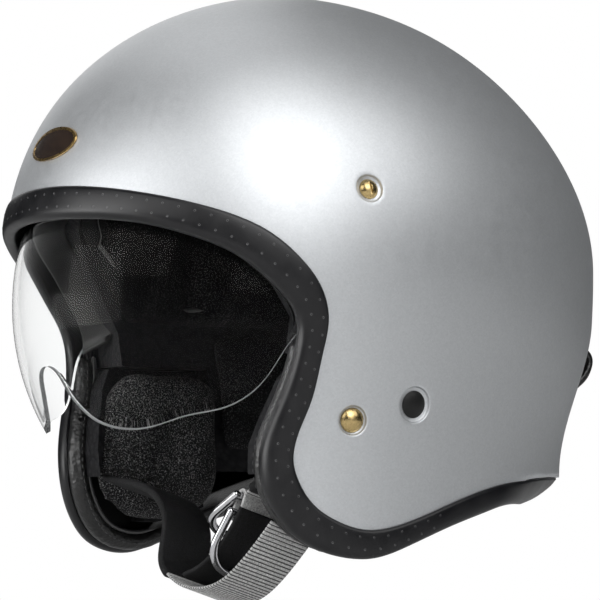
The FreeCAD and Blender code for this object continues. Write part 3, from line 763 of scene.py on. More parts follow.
def dimple_rings(hole, border, sizes):
    """Order of a hole's border points, and the rings from there over the dimple to the inner skin."""
    middle, normal, sign, dimple_r, dimple_t, hole_r = hole
    u, v = across(normal)
    angles = np.arctan2((border - middle) @ v, (border - middle) @ u)
    order = np.argsort(angles)
    border, angles = border[order], angles[order]

    def flat_ring(radius, depth=0):
        return ring_points(middle, normal, radius, depth, angles)

    rings = []
    for share in (0.35, 0.7):
        rings.append(on_side(border * (1 - share) + flat_ring(dimple_r + 1.0) * share, sizes[0], sign))
    rings.append(on_side(flat_ring(dimple_r + 0.45), sizes[0], sign))
    rings.append(on_side(flat_ring(dimple_r + 0.1), sizes[0], sign) - normal * 0.12)
    rings.append(flat_ring(dimple_r - 0.1, 0.5))
    rings.append(flat_ring(dimple_r - 0.25, dimple_t - 0.35))
    rings.append(flat_ring(dimple_r - 0.7, dimple_t))
    rings.append(flat_ring(hole_r + 0.4, dimple_t))
    rings.append(flat_ring(hole_r, dimple_t + 0.3))
    rings.append(flat_ring(hole_r, SHELL_T))
    rings.append(on_side(flat_ring(dimple_r), sizes[1], sign))
    return order, rings


def make_shell():
    """Outer and inner skins on one grid, joined at the rim and at the fastener holes."""
    sizes = (inset(0), inset(SHELL_T))
    skins = [wrapped_grid(size, SHELL_STEPS) for size in sizes]
    faces = grid_faces(SHELL_STEPS + 1, SHELL_STEPS + 1)
    centre = skins[0][faces].mean(axis=1)
    keep = above_rim(centre[:, 1], centre[:, 2])
    holes = []
    for at, dimple_r, dimple_t, hole_r in FASTENERS:
        for sign in (1, -1):
            middle = side_point(at[0], at[1], sizes[0]) * (sign, 1, 1)
            normal = side_normal(at[0], at[1], sizes[0]) * (sign, 1, 1)
            near = np.linalg.norm(skins[0][faces] - middle, axis=2).min(axis=1) < dimple_r + 2.6
            border = sorted({v for pair in edges_of(faces[keep & near]) for v in pair})
            holes.append(((middle, normal, sign, dimple_r, dimple_t, hole_r), np.array(border)))
            keep &= ~near
    body = faces[keep]
    at_hole = {v for hole, border in holes for v in border}
    rim = [pair for pair in edges_of(body) if not (pair[0] in at_hole and pair[1] in at_hole)]
    rim_verts = sorted({v for pair in rim for v in pair})
    for skin, size in zip(skins, sizes):
        snap_to_rim(skin, rim_verts, size)
    count = len(skins[0])
    points = [skins[0], skins[1]]
    total = 2 * count
    out = body.tolist() + (body[:, ::-1] + count).tolist()
    out += [[b, a, a + count, b + count] for a, b in rim]
    for hole, border in holes:
        order, rings = dimple_rings(hole, skins[0][border], sizes)
        loop = border[order]
        n = len(loop)
        chain = [loop] + [total + k * n + np.arange(n) for k in range(len(rings))] + [loop + count]
        points += rings
        total += len(rings) * n
        for first, second in zip(chain, chain[1:]):
            out += belt(first, second)
    piece = make_mesh("shell", np.vstack(points), out)
    face_outwards(piece)
    drop_loose(piece)
    finish_piece(piece, "helmet", PAINT, ["outer_shell"])
    piece.data.materials.append(SHELL_INSIDE)
    for face in piece.data.polygons:
        to_axis = Vector((face.center.x, face.center.y, face.center.z - SHELL_MIDDLE_Z))
        face.material_index = int(face.normal.dot(to_axis) < -0.3 * to_axis.length)


def drop_loose(piece):
    """Delete the grid points that no face uses."""
    bm = bmesh.new()
    bm.from_mesh(piece.data)
    bmesh.ops.delete(bm, geom=[v for v in bm.verts if not v.link_faces], context="VERTS")
    bm.to_mesh(piece.data)
    bm.free()


# ---------------------------------------------------------------- trim

# sections as (share from edge to lip, depth inside the shell's outer face)
TRIM_FACE = [(0.0, 0.3), (0.0, -0.55), (0.03, -1.15), (0.1, -1.5), (0.3, -1.8), (0.55, -1.88), (0.78, -1.7),
             (0.91, -1.1), (0.98, 0.0), (1.0, 1.4), (0.985, 2.9), (0.94, 4.2), (0.86, 5.2), (0.72, 5.75),
             (0.45, 5.8), (0.12, 5.7), (0.03, 5.2), (0.02, 4.2)]
SKIRT_FACE = [(0.05, 1.6), (0.12, 1.3), (0.3, 1.7), (0.6, 2.8), (1.0, 4.6), (1.4, 7.0), (1.8, 9.8),
              (2.05, 12.2), (2.12, 13.6), (2.05, 14.4), (1.8, 13.8), (1.4, 11.8), (1.0, 9.4), (0.6, 7.4),
              (0.2, 6.0), (-0.3, 5.4), (-0.5, 4.6)]
CHANNEL = [(0.02, 4.1), (0.76, 4.1), (0.76, -0.1), (0.02, -0.1)]
SKIRT_CHANNEL = [(-0.5, 4.15), (0.0, 4.15), (0.02, 3.9), (0.03, 2.4)]
RIM_WIDTH = 14.0         # rough distance from edge to lip
SECTION_POINTS = 34


def rim_loft(name, tau, start, end, centre):
    """Sections carried along the rim, from one section to another, mirrored at the centre station."""
    w = eased((rim_point(tau, 0.5, OUTSIDE)[:, 1] - NAPE_START_Y) / (2 * NAPE_CHANGE))[:, None]
    columns = []
    for (share_a, depth_a), (share_b, depth_b) in zip(start, end):
        line = rim_point(tau, share_a, inset(depth_a))
        if (share_a, depth_a) != (share_b, depth_b):
            line = line * (1 - w) + rim_point(tau, share_b, inset(depth_b)) * w
        columns.append(line)
    half = np.stack(columns, 1)
    other = mirror_x(half)[::-1]
    whole = np.vstack([other, half[1:]]) if centre == "front" else np.vstack([half, other[1:]])
    return loft(name, whole, caps=False)


def section(face, channel):
    """Rounded outside of a trim section, and the channel that grips the shell."""
    rounded_face = smooth([(share * RIM_WIDTH, depth) for share, depth in face], SECTION_POINTS)
    return np.vstack([rounded_face / (RIM_WIDTH, 1.0), channel]).tolist()


def make_trim():
    split = tau_at_y(SKIRT_START_Y)
    trim_section = section(TRIM_FACE, CHANNEL)
    skirt_section = section(SKIRT_FACE, SKIRT_CHANNEL)
    trim = rim_loft("trim", rim_stations(1.6, 0.0, split), trim_section, trim_section, "front")
    finish_piece(trim, "helmet", RUBBER, ["edge_trim"])
    skirt = rim_loft("skirt", rim_stations(1.8, split, 3.0), trim_section, skirt_section, "back")
    finish_piece(skirt, "helmet", RUBBER, ["nape_skirt"])
    return split


PIT_PITCH = 7.5
PIT_ROWS = ((0.27, 1.78), (0.68, 1.86))      # share from edge to lip, height over the shell
PIT_SIDES = 10
# radius and height of the rings from a pit's raised rim to its floor
PIT_PROFILE = [(0.62, -0.02), (0.54, 0.05), (0.46, 0.06), (0.38, 0.0), (0.28, -0.02), (0.02, -0.03)]


def make_pits(split):
    """Two staggered rows of small round pits with raised rims along the trim."""
    points, faces = [], []
    angle = np.linspace(0, 2 * math.pi, PIT_SIDES, endpoint=False)
    for row, (share, over_shell) in enumerate(PIT_ROWS):
        tau = rim_stations(PIT_PITCH / 2, 0.0, split)[row::2]
        surface = inset(-over_shell)
        at = rim_point(tau, share, surface)
        ahead = rim_point(np.minimum(tau + 0.004, 3), share, surface) - at
        inward = rim_point(tau, share + 0.03, surface) - at
        for sign in (1, -1):
            for p, a, b in zip(at, ahead, inward):
                if row == 0 and sign == -1 and p[0] < 0.5:
                    continue
                p, a, b = p * (sign, 1, 1), a * (sign, 1, 1), b * (sign, 1, 1)
                u = a / np.linalg.norm(a)
                n = np.cross(u, b)
                n /= np.linalg.norm(n)
                n *= 1 if n @ (p + (0, 0, 20)) > 0 else -1
                v = np.cross(n, u)
                base = len(points)
                for radius, height in PIT_PROFILE:
                    ring = (np.cos(angle)[:, None] * u + np.sin(angle)[:, None] * v) * radius
                    points.extend(p + ring + n * height)
                faces += grid_faces(len(PIT_PROFILE), PIT_SIDES, wrap_columns=True, start=base).tolist()
                faces.append([base + (len(PIT_PROFILE) - 1) * PIT_SIDES + k for k in range(PIT_SIDES)])
    piece = make_mesh("trim_pits", points, faces)
    # the pits take the lighter rubber, a painted highlight
    finish_piece(piece, "helmet", PIT_HIGHLIGHT)


# ---------------------------------------------------------------- visor

PIVOT = (-18.0, -4.6)
LENS_HALF_W = 104.5
LENS_R = 117.0
LENS_T = 2.2
LENS_OUTLINE = [(-131.8, -33.2), (-130, -37.7), (-125.8, -48), (-120.2, -57.6), (-115.5, -62.6),
                (-107.1, -65.3), (-102, -63.8), (-95, -60), (-83.2, -56.7), (-74.2, -51.2),
                (-67.8, -42.8), (-63, -32.7), (-57, -23), (-45, -15), (-30, -15.5), (-18, -18.6)]
LENS_TOP = [(-150, 50), (-95, 40), (-52, 19), (-18, 9.4)]
PIN_R = 4.3
HUB_RINGS = (11.0, 8.0, 5.5, PIN_R)      # radii of the rings of points round a hinge hole
LENS_EDGE_SLOPE = 0.75   # faces that look less far outwards than this belong to the edge
LENS_COLUMNS = 90
LENS_ROWS = 30


def lens_coordinates(y, z):
    """Polar reach (0 at the hub, 1 at mid face) and turn about the hinge of side-view points."""
    radius = np.hypot(y - PIVOT[0], z - PIVOT[1]) / LENS_R
    return radius, np.arctan2(z - PIVOT[1], -(y - PIVOT[0]))


def lens_border(points, count):
    """Border line of the visor's left half from mid face to hub, as (x, turn)."""
    dense = spline(points, np.linspace(0, chords(np.array(points, float))[-1], 6000))
    radius, turn = lens_coordinates(dense[:, 0], dense[:, 1])
    inside = radius < 1
    x = LENS_HALF_W * np.sqrt(1 - radius[inside] ** 2)
    line = np.stack([x, turn[inside]], 1)
    line = np.vstack([[0, line[0, 1]], line])
    solid = lens_surface(line[:, 0], line[:, 1], 0)
    along = chords(solid)
    wanted = np.linspace(0, along[-1], count)
    return np.stack([np.interp(wanted, along, line[:, k]) for k in range(2)], 1)


def lens_surface(x, turn, depth):
    """Points of the visor, this deep under its outer face."""
    half, reach = LENS_HALF_W - depth, LENS_R - depth
    radius = reach * np.sqrt(np.maximum(0, 1 - (x / LENS_HALF_W) ** 2))
    return np.stack([x / LENS_HALF_W * half, PIVOT[0] - radius * np.cos(turn),
                     PIVOT[1] + radius * np.sin(turn)], -1)


def make_lens():
    """Curved sheet from hub to hub, with the hinge holes and rounded, polished edges; the edge faces get a
    paler, partly opaque material, a painted highlight.
    """
    columns, rows = LENS_COLUMNS, LENS_ROWS
    low = lens_border(LENS_OUTLINE, columns)
    top = lens_border(LENS_TOP, columns)
    share = np.linspace(0, 1, rows)[None, :, None]
    field = low[:, None] * (1 - share) + top[:, None] * share
    sheet = np.concatenate([field[::-1] * (-1, 1), field[1:]])
    faces = grid_faces(2 * columns - 1, rows).tolist()
    flat = [sheet.reshape(-1, 2)]
    total = len(flat[0])
    start_turn, end_turn = low[-1, 1], top[-1, 1]
    back_turn = np.linspace(end_turn, start_turn + 2 * math.pi, rows)[1:-1]
    turns = np.concatenate([np.linspace(start_turn, end_turn, rows), back_turn])
    n = len(turns)
    for sign, column in ((1, (2 * columns - 2) * rows), (-1, 0)):
        flat.append(np.column_stack([np.full(n - rows, sign * field[-1, 0, 0]), turns[rows:]]))
        rings = [np.concatenate([column + np.arange(rows), total + np.arange(n - rows)])]
        total += n - rows
        for radius in HUB_RINGS:
            x = sign * LENS_HALF_W * math.sqrt(1 - (radius / LENS_R) ** 2)
            flat.append(np.column_stack([np.full(n, x), turns]))
            rings.append(total + np.arange(n))
            total += n
        for a, b in zip(rings, rings[1:]):
            ring = belt(a, b)
            faces += ring if sign == 1 else [face[::-1] for face in ring]
    flat = np.vstack(flat)
    outer = lens_surface(flat[:, 0], flat[:, 1], 0)
    inner = lens_surface(flat[:, 0], flat[:, 1], LENS_T)
    piece = make_mesh("visor", np.vstack([outer, inner]), double(faces, len(flat)))
    face_outwards(piece)
    rounded(piece, 0.0006, 3, 50)
    finish_piece(piece, "visor", LENS, ["visor_lens"])
    # the edge and bevel faces take the painted-highlight material
    piece.data.materials.append(LENS_EDGE_HIGHLIGHT)
    middle = Vector((0, PIVOT[0] * MM, PIVOT[1] * MM))
    for face in piece.data.polygons:
        out = (face.center - middle).normalized()
        face.material_index = int(abs(face.normal.dot(out)) < LENS_EDGE_SLOPE)


# ---------------------------------------------------------------- brow frame

FRAME_STATIONS = [(-61.8, -27), (-60.8, -21), (-63.8, -12), (-70.5, -3.5), (-83.5, 9), (-98, 18),
                  (-110, 23.5), (-118, 27)]
BEHIND_LENS = LENS_T + 1.8
BROW_Z = 31.5
BROW_SHIFT = (3.5, 2.5)          # back and up, from the stations to the strip's front edge
BROW_BACK = (9.5, 6.5)           # from there to its back edge
BROW_BACK_MIDDLE = 13.5          # how far back the back edge lies in the middle
BROW_BACK_DEPTH = 27.0           # of the back edge, inside the shell's outer face
# share of the way back and height of the strip's section
BROW_PROFILE = [(0.03, 0.0), (0.0, 0.4), (-0.02, 1.2), (0.0, 2.0), (0.05, 2.5), (0.3, 2.6),
                (0.7, 2.5), (1.0, 2.4), (1.0, 0.0), (0.7, -0.2), (0.3, -0.3), (0.1, -0.25)]


def make_brow_frame():
    """Smooth strip over the eyes, behind the visor, with a rolled front edge."""
    front, back = [], []
    for y, z in FRAME_STATIONS:
        y, z = y + BROW_SHIFT[0], z + BROW_SHIFT[1]
        reach = math.hypot(y - PIVOT[0], z - PIVOT[1]) / (LENS_R - BEHIND_LENS)
        front.append(((LENS_HALF_W - BEHIND_LENS) * math.sqrt(max(0.0, 1 - reach * reach)), y, z))
        back.append(tuple(side_point(y + BROW_BACK[0], z + BROW_BACK[1], inset(BROW_BACK_DEPTH))))
    reach = LENS_R - BEHIND_LENS
    brow_y = PIVOT[0] - math.sqrt(reach ** 2 - (BROW_Z - PIVOT[1]) ** 2)
    front.append((0, brow_y, BROW_Z))
    back.append((0, brow_y + BROW_BACK_MIDDLE, BROW_Z + BROW_BACK[1]))
    lines = []
    for half in (front, back):
        half = np.array(half, float)
        whole = np.vstack([half, mirror_x(half[:-1])[::-1]])
        lines.append(smooth(whole, 121))
    a, b = lines
    rise = np.array([0, 0.35, 0.94])
    inward = b - a
    sections = np.stack([a + inward * share + rise * height for share, height in BROW_PROFILE], 1)
    piece = loft("brow_strip", sections)
    finish_piece(piece, "helmet", FRAME_PLASTIC, ["brow_frame"])


# ---------------------------------------------------------------- padding

PANEL_ROUNDNESS = 6.0    # the higher, the later the two faces of a cushion draw together


def polar_panel(name, border, inner_face, outer_face, rings):
    """Closed cushion over a side-view border: two faces that meet round its edge."""
    centre = border.mean(axis=0)
    n = len(border)
    shares = np.sin(np.linspace(0, math.pi / 2, rings + 1))[1:]
    sheets = []
    for sign in (1, -1):
        rows = []
        for f in shares:
            yz = centre + (border - centre) * f
            low, high = inner_face(yz), outer_face(yz)
            middle, half = (low + high) / 2, (high - low) / 2
            swell = (1 - f ** PANEL_ROUNDNESS) ** 0.5
            x = middle + sign * half * swell
            rows.append(np.column_stack([x, yz]))
        sheets.append(rows)
    low, high = inner_face(centre[None]), outer_face(centre[None])
    points = [np.column_stack([high, centre[None]]), np.column_stack([low, centre[None]])]
    index = 2
    faces = []
    chain = []
    for rows in sheets:
        ids = []
        for row in rows[:-1]:
            points.append(row)
            ids.append(index + np.arange(n))
            index += n
        chain.append(ids)
    points.append(sheets[0][-1])
    rim = index + np.arange(n)
    for side, ids in enumerate(chain):
        loops = ids + [rim]
        faces += [[side, loops[0][k], loops[0][(k + 1) % n]] for k in range(n)]
        for first, second in zip(loops, loops[1:]):
            faces += belt(first, second)
    piece = make_mesh(name, np.vstack(points), faces)
    face_outwards(piece)
    return piece


def closed_smooth(points, count):
    """Smooth closed line through the given points."""
    points = np.array(points, float)
    wrapped = np.vstack([points[-3:], points, points[:4]])
    knots = chords(wrapped)
    t = np.linspace(knots[3], knots[3 + len(points)], count, endpoint=False)
    return spline(wrapped, t, knots)


CHEEK_IN = 62.0
CHEEK_SWELL = 1.5        # how far the middle of the inner face stands in
CHEEK_BOTTOM_Z = -106
CHEEK_HEIGHT = 70
CHEEK_SLOPE_Y = -38      # in front of this the inner face turns outwards
CHEEK_SLOPE_LENGTH = 23.0
CHEEK_SLOPE_OUT = 13.0
CHEEK_LOW_Z = -88        # and below this
CHEEK_LOW_LENGTH = 18.0
CHEEK_LOW_OUT = 7.0
CHEEK_BORDER = [(-44, -35), (-51, -42), (-57, -58), (-61, -72), (-60.5, -85), (-55, -97), (-42, -104),
                (-22, -106), (-4, -103), (5, -92), (6.5, -60), (4, -38), (-10, -34.5), (-28, -34.5)]
EAR_BORDER = [(14, -14), (32, -12.5), (49, -14), (50.5, -40), (49, -70), (32, -72.5), (14, -70),
              (12.5, -40)]
EAR_DEPTHS = (0.8, 7.3)          # outer and inner face, from the foam
CHEEK_OUT_DEPTH = 24.5
CHEEK_FRONT_DEPTH = 16.0
CHEEK_THIN_Y = -44       # in front of this and below CHEEK_THIN_Z the outer face nears the shell
CHEEK_THIN_Z = -94
CHEEK_THIN_LENGTHS = (12.0, 10.0)

ROLL_R = 5.2
ROLL_STRETCH = (1.2, 1.93)       # tau of the rim where the roll starts and ends


def cheek_inner(yz):
    """Inner face of the cheek pad: nearly flat, sloping outwards in front and below."""
    slope = np.clip((CHEEK_SLOPE_Y - yz[:, 0]) / CHEEK_SLOPE_LENGTH, 0, 1)
    height = np.clip((yz[:, 1] - CHEEK_BOTTOM_Z) / CHEEK_HEIGHT, 0, 1)
    low = np.clip((CHEEK_LOW_Z - yz[:, 1]) / CHEEK_LOW_LENGTH, 0, 1)
    swell = CHEEK_SWELL * np.sin(height * math.pi)
    return CHEEK_IN + CHEEK_SWELL + CHEEK_SLOPE_OUT * slope ** 1.2 + CHEEK_LOW_OUT * low ** 2 - swell


def cheek_outer(yz):
    """Outer face of the cheek pad: follows the foam, and reaches nearer the shell in front and below."""
    front = np.clip((CHEEK_THIN_Y - yz[:, 0]) / CHEEK_THIN_LENGTHS[0], 0, 1)
    low = np.clip((CHEEK_THIN_Z - yz[:, 1]) / CHEEK_THIN_LENGTHS[1], 0, 1)
    thin = np.maximum(front, low)
    return side_point(yz[:, 0], yz[:, 1], inset(CHEEK_OUT_DEPTH))[:, 0] * (1 - thin) + thin * (
        side_point(yz[:, 0], yz[:, 1], inset(CHEEK_FRONT_DEPTH))[:, 0])


def roll_line(depth, back, count):
    """Line inside the lip of the cheek lobe, this far in and this far back from it."""
    tau = np.linspace(*ROLL_STRETCH, 160)
    y, z = outline(1.0, np.interp(tau, (1, 2), (RIM_KNOTS[BROW_KNOT], RIM_KNOTS[NAPE_KNOT]))).T
    step_y, step_z = np.gradient(y), np.gradient(z)
    length = np.hypot(step_y, step_z)
    y, z = y - step_z / length * back, z + step_y / length * back
    return even(side_point(y, z, inset(depth)), count)


def make_cheeks():
    border = closed_smooth(CHEEK_BORDER, 72)
    pad = polar_panel("cheek_cushion_left", border, cheek_inner, cheek_outer, 16)
    ear_border = closed_smooth(EAR_BORDER, 48)
    ear = polar_panel("ear_cushion_left", ear_border,
                      lambda yz: side_point(yz[:, 0], yz[:, 1], CAVITY)[:, 0] - EAR_DEPTHS[1],
                      lambda yz: side_point(yz[:, 0], yz[:, 1], CAVITY)[:, 0] - EAR_DEPTHS[0], 10)
    roll = tube("cheek_bolster_left", roll_line(9.6, 6.2, 90), ROLL_R, sides=20)
    puff([pad, ear, roll])
    trims = cheek_details()
    for piece, node, slot, material, fill in ((pad, "cheek_pad", "pad_fabric", FABRIC, 0.8),
                                              (ear, "ear_pad", "pad_fabric", LINING, 0.6),
                                              (roll, "cheek_roll", "leather", LEATHER, 0.9)):
        other = mirrored_copy(piece, piece.name.replace("left", "right"))
        finish_piece(piece, "helmet", material, [node + "_left"])
        finish_piece(other, "helmet", material, [node + "_right"])
    for piece, material in trims:
        other = mirrored_copy(piece, piece.name.replace("left", "right"))
        finish_piece(piece, "helmet", material)
        finish_piece(other, "helmet", material)




def cheek_details():
    """Piping between roll and fabric, and the stitches beside it."""
    piping = tube("cheek_piping_left", roll_line(13.6, 10.6, 140), 1.15, sides=8)
    line = roll_line(14.6, 5.0, 200)
    front = np.tile((0.0, -1.0, 0.0), (len(line), 1))
    seam = stitches("cheek_stitches_left", line, front, 2.2, 1.4, 0.22)
    return [(piping, PIPING), (seam, PIPING)]


CLEARANCE = 0.4          # between the foam and the linings
CAVITY_MIDDLE = np.array([0.0, 5.0, 0.0])
NECK_ROWS = 44
NECK_COLUMNS = 150
NECK_T = 13.2
NECK_GROOVE = 5.0
NECK_Z = (-82.5, -13.5)


def cavity_panel(name, size, theta, z_low, z_high, seams):
    """Quilted layer on the inside of a dome between two heights, sewn in along seams."""
    rows, columns = NECK_ROWS, NECK_COLUMNS
    u = np.linspace(0, 1, columns)
    v = np.linspace(0, 1, rows)
    angle = theta[0] + (theta[1] - theta[0]) * u
    z = z_low + (z_high - z_low) * np.broadcast_to(v[None, :], (columns, rows))
    angle = np.broadcast_to(angle[:, None], z.shape)
    sewn = seams(u[:, None] + 0 * z, v[None, :] + 0 * z)
    edge = np.minimum(np.minimum(u, 1 - u)[:, None] * columns / 6, np.minimum(v, 1 - v)[None, :] * rows / 6)
    edge = np.sqrt(1 - (1 - np.clip(edge, 0, 1)) ** 2)
    depth = NECK_T * (0.12 + 0.88 * edge) - NECK_GROOVE * sewn * edge
    outer = dome_point(angle, z, tuple(reach - CLEARANCE for reach in size))
    way = CAVITY_MIDDLE - outer
    way[..., 2] *= 0.35
    way /= np.linalg.norm(way, axis=-1)[..., None]
    inner = outer + way * depth[..., None]
    points = np.vstack([inner.reshape(-1, 3), outer.reshape(-1, 3)])
    piece = make_mesh(name, points, double(grid_faces(columns, rows), rows * columns))
    face_outwards(piece)
    return piece


CROWN_PAD_OUTLINE = [(-125, 49), (-92, 39), (-70, 26), (-52, 8), (-40, -8), (175, -8)]
CROWN_COLUMNS = 192
CROWN_ROWS = 60
CROWN_SECTORS = 8
CROWN_RING_TURN = 0.42   # angle from the top at which the round centre panel ends
CROWN_SEAM_W = 6.5
CROWN_T = 8.6


def crown_low(angle):
    """Height of the crown lining's lower edge at each plan angle."""
    size = tuple(reach - CLEARANCE for reach in CAVITY)
    knots = np.array(CROWN_PAD_OUTLINE, float)
    z = np.full(np.shape(angle), 10.0)
    for _ in range(60):
        z = z + 0.5 * (np.interp(dome_point(angle, z, size)[..., 1], knots[:, 0], knots[:, 1]) - z)
    return z


def make_crown_lining():
    """Round centre panel and eight sewn sectors, with piping along the lower edge."""
    size = tuple(reach - CLEARANCE for reach in CAVITY)
    columns, rows = CROWN_COLUMNS, CROWN_ROWS
    angle = np.linspace(0, 2 * math.pi, columns, endpoint=False)
    low = crown_low(angle)
    v = np.linspace(0, 1, rows)
    turn_low = np.arccos(np.clip((low - WIDEST_Z) / size[3], -1, 1))
    turn = turn_low[:, None] * (1 - v[None, :]) + 0.02 * v[None, :]
    z = WIDEST_Z + size[3] * np.cos(turn)
    outer = dome_point(np.broadcast_to(angle[:, None], z.shape), z, size)
    part = ((angle / (2 * math.pi) * CROWN_SECTORS + 0.5) % 1) - 0.5
    spoke = np.abs(part)[:, None] / CROWN_SECTORS * 2 * math.pi
    to_spoke = spoke * np.hypot(outer[..., 0], outer[..., 1])
    to_ring = np.abs(turn - CROWN_RING_TURN) * size[3]
    gap = np.where(turn > CROWN_RING_TURN, np.minimum(to_spoke, to_ring), to_ring)
    border = np.sqrt(1 - (1 - np.clip(v * rows / 5, 0, 1)) ** 2)[None, :]
    swell = 1 - np.exp(-(gap / CROWN_SEAM_W) ** 1.3)
    thickness = CROWN_T * (0.35 + 0.65 * swell) * (0.15 + 0.85 * border)
    way = np.array([0.0, 5.0, 5.0]) - outer
    way /= np.linalg.norm(way, axis=-1)[..., None]
    inner = outer + way * thickness[..., None]
    total = rows * columns
    faces = grid_faces(columns, rows, wrap_rows=True)
    out = faces.tolist() + (faces[:, ::-1] + total).tolist()
    rim = np.arange(columns) * rows
    out += belt(rim, rim + total)
    out.append((rim + rows - 1).tolist())
    out.append((rim + rows - 1 + total).tolist()[::-1])
    piece = make_mesh("crown_lining", np.vstack([inner.reshape(-1, 3), outer.reshape(-1, 3)]), out)
    face_outwards(piece)
    finish_piece(piece, "helmet", LINING, ["crown_pad"])
    edge = inner[:, 3] + (outer[:, 3] - inner[:, 3]) * 0.25
    piping = tube("crown_piping", edge + np.array([0, 0, -1.0]), 1.4, sides=8, closed=True)
    finish_piece(piping, "helmet", PIPING)


def make_neck_roll():
    """Leather roll round the nape, sewn into two chambers."""
    size = tuple(reach - 0.6 for reach in CAVITY)
    start = float(side_angle(57.0, -50.0, size))

    def seams(u, v):
        return np.exp(-((v - 0.48) / 0.05) ** 2) + 0.7 * np.exp(-((u - 0.5) / 0.012) ** 2)

    piece = cavity_panel("neck_roll", size, (start, 2 * math.pi - start), *NECK_Z, seams)
    finish_piece(piece, "helmet", LEATHER, ["neck_pad"])


# depth inside the shell's outer face, and share from edge to lip; below 0 it climbs above the edge
NAPE_LINING_ROWS = [(5.9, 0.55), (12.0, 0.2), (22.0, -0.5), (32.0, -1.1)]
NAPE_LINING_CLIMB = 9.0


def make_nape_lining():
    """Leather skirt that closes the gap between the rim and the neck roll."""
    tau = rim_stations(3.0, tau_at_y(-20.0), 3.0)
    rows = []
    for depth, share in NAPE_LINING_ROWS:
        climb = max(0.0, -share) * NAPE_LINING_CLIMB
        rows.append(rim_point(tau, max(0.0, share), inset(depth)) + (0, 0, climb))
    sheet = np.stack(rows, 1)
    whole = np.vstack([sheet, mirror_x(sheet[:-1].reshape(-1, 3)).reshape(sheet[:-1].shape)[::-1]])
    piece = make_mesh("nape_lining", whole.reshape(-1, 3), grid_faces(len(whole), len(rows)))
    face_outwards(piece)
    solid = piece.modifiers.new("thickness", "SOLIDIFY")
    solid.thickness = 0.0015
    solid.offset = 0
    applied(piece)
    subdivided(piece)
    finish_piece(piece, "helmet", LEATHER)


# ---------------------------------------------------------------- chin strap

STRAP_LEAN = math.radians(18.0)
STRAP_PIVOT = (-35.0, -61.5)
STRAP_DOWN = np.array([0, -math.sin(STRAP_LEAN), -math.cos(STRAP_LEAN)])
STRAP_ACROSS = np.array([0, math.cos(STRAP_LEAN), -math.sin(STRAP_LEAN)])
WEB_W = 25.0
WEB_T = 1.7
STRAP_SHORT = [(90.4, 8.6), (88.6, 10.6), (87.9, 14), (86.5, 19), (82, 24.5), (74, 29.5), (63, 34.5),
               (57, 37.4)]
STRAP_LONG = [(-90.4, 8.6), (-88.6, 10.6), (-87.9, 14), (-86, 19.5), (-80, 25.5), (-69, 29.8), (-54, 31.5),
              (-37, 33.5), (-20, 39), (-4, 54), (0, 69), (14, 79), (36, 83), (56, 79), (70, 68), (84, 51)]
STRAP_TAIL = [(55, 44), (51, 54), (44, 64), (32, 73), (22, 76.5)]
# black pieces: route, width, thickness, step between sections, and the stretch of the route
PLAIN_BANDS = (("strap_cover_right", STRAP_LONG, WEB_W + 2.4, 3.6, 1.5, 0.06, 0.60),
               ("strap_tail", STRAP_TAIL, WEB_W - 1.0, 2.2, 1.2, 0.0, 1.0),
               ("strap_cover_left", STRAP_SHORT, WEB_W + 3.0, 4.6, 1.5, 0.3, 0.9))
RING_BARS = ((51.5, 38.8), (51.0, 46.8))
RING_WIRE_R = 1.9
RING_R = 13.5
RIB_PITCH = 2.0


def strap_points(route, w):
    """Points of a route drawn in the strap's plane, this far across the strap."""
    x, s = np.asarray(route, float).T
    base = np.array([0, STRAP_PIVOT[0], STRAP_PIVOT[1]])
    sideways = np.outer(np.broadcast_to(w, x.shape), STRAP_ACROSS)
    return base + np.outer(x, (1, 0, 0)) + np.outer(s, STRAP_DOWN) + sideways


def line_normals(line):
    """Unit normals of a line drawn in the strap's plane."""
    ahead = np.gradient(line, axis=0)
    ahead /= np.linalg.norm(ahead, axis=1)[:, None]
    return np.column_stack([-ahead[:, 1], ahead[:, 0]])


RIB_STEP = 0.25
ROUTE_POINTS = 4000
BAND_PROFILE = [(-1, -0.35), (-1, 0.35), (-0.965, 0.85), (-0.9, 1), (0.9, 1), (0.965, 0.85), (1, 0.35),
                (1, -0.35), (0.965, -0.85), (0.9, -1), (-0.9, -1), (-0.965, -0.85)]


def band(name, route, width, thickness, ribs=True, step=RIB_STEP, from_s=0.0, to_s=1.0):
    """Flat webbing along a stretch of a route, with rounded selvedges and ribs across."""
    dense = smooth(route, ROUTE_POINTS)
    length = chords(dense)[-1]
    last = ROUTE_POINTS - 1
    line = even(dense[int(from_s * last):int(to_s * last) + 1], int(length * (to_s - from_s) / step))
    along = chords(line)
    normal = line_normals(line)
    wave = np.abs(np.sin(along / RIB_PITCH * math.pi)) ** 0.7 if ribs else np.ones(len(line))
    half_t = thickness / 2 * (0.25 + 0.75 * wave)
    columns = []
    for w, t in BAND_PROFILE:
        columns.append(strap_points(line + normal * (half_t * t)[:, None], w * width / 2))
    return loft(name, np.stack(columns, 1))


def paint_groove_shade(piece, route, step):
    """Painted shade: a second, darker material on the faces between the ribs of a webbing band."""
    piece.data.materials.append(GROOVE_SHADE)
    length = chords(smooth(route, ROUTE_POINTS))[-1]
    stations = int(length / step)
    across = len(BAND_PROFILE)
    for number in range((stations - 1) * across):
        along = (number // across + 0.5) * length / (stations - 1)
        piece.data.polygons[number].material_index = int(abs(math.sin(along / RIB_PITCH * math.pi)) < 0.5)


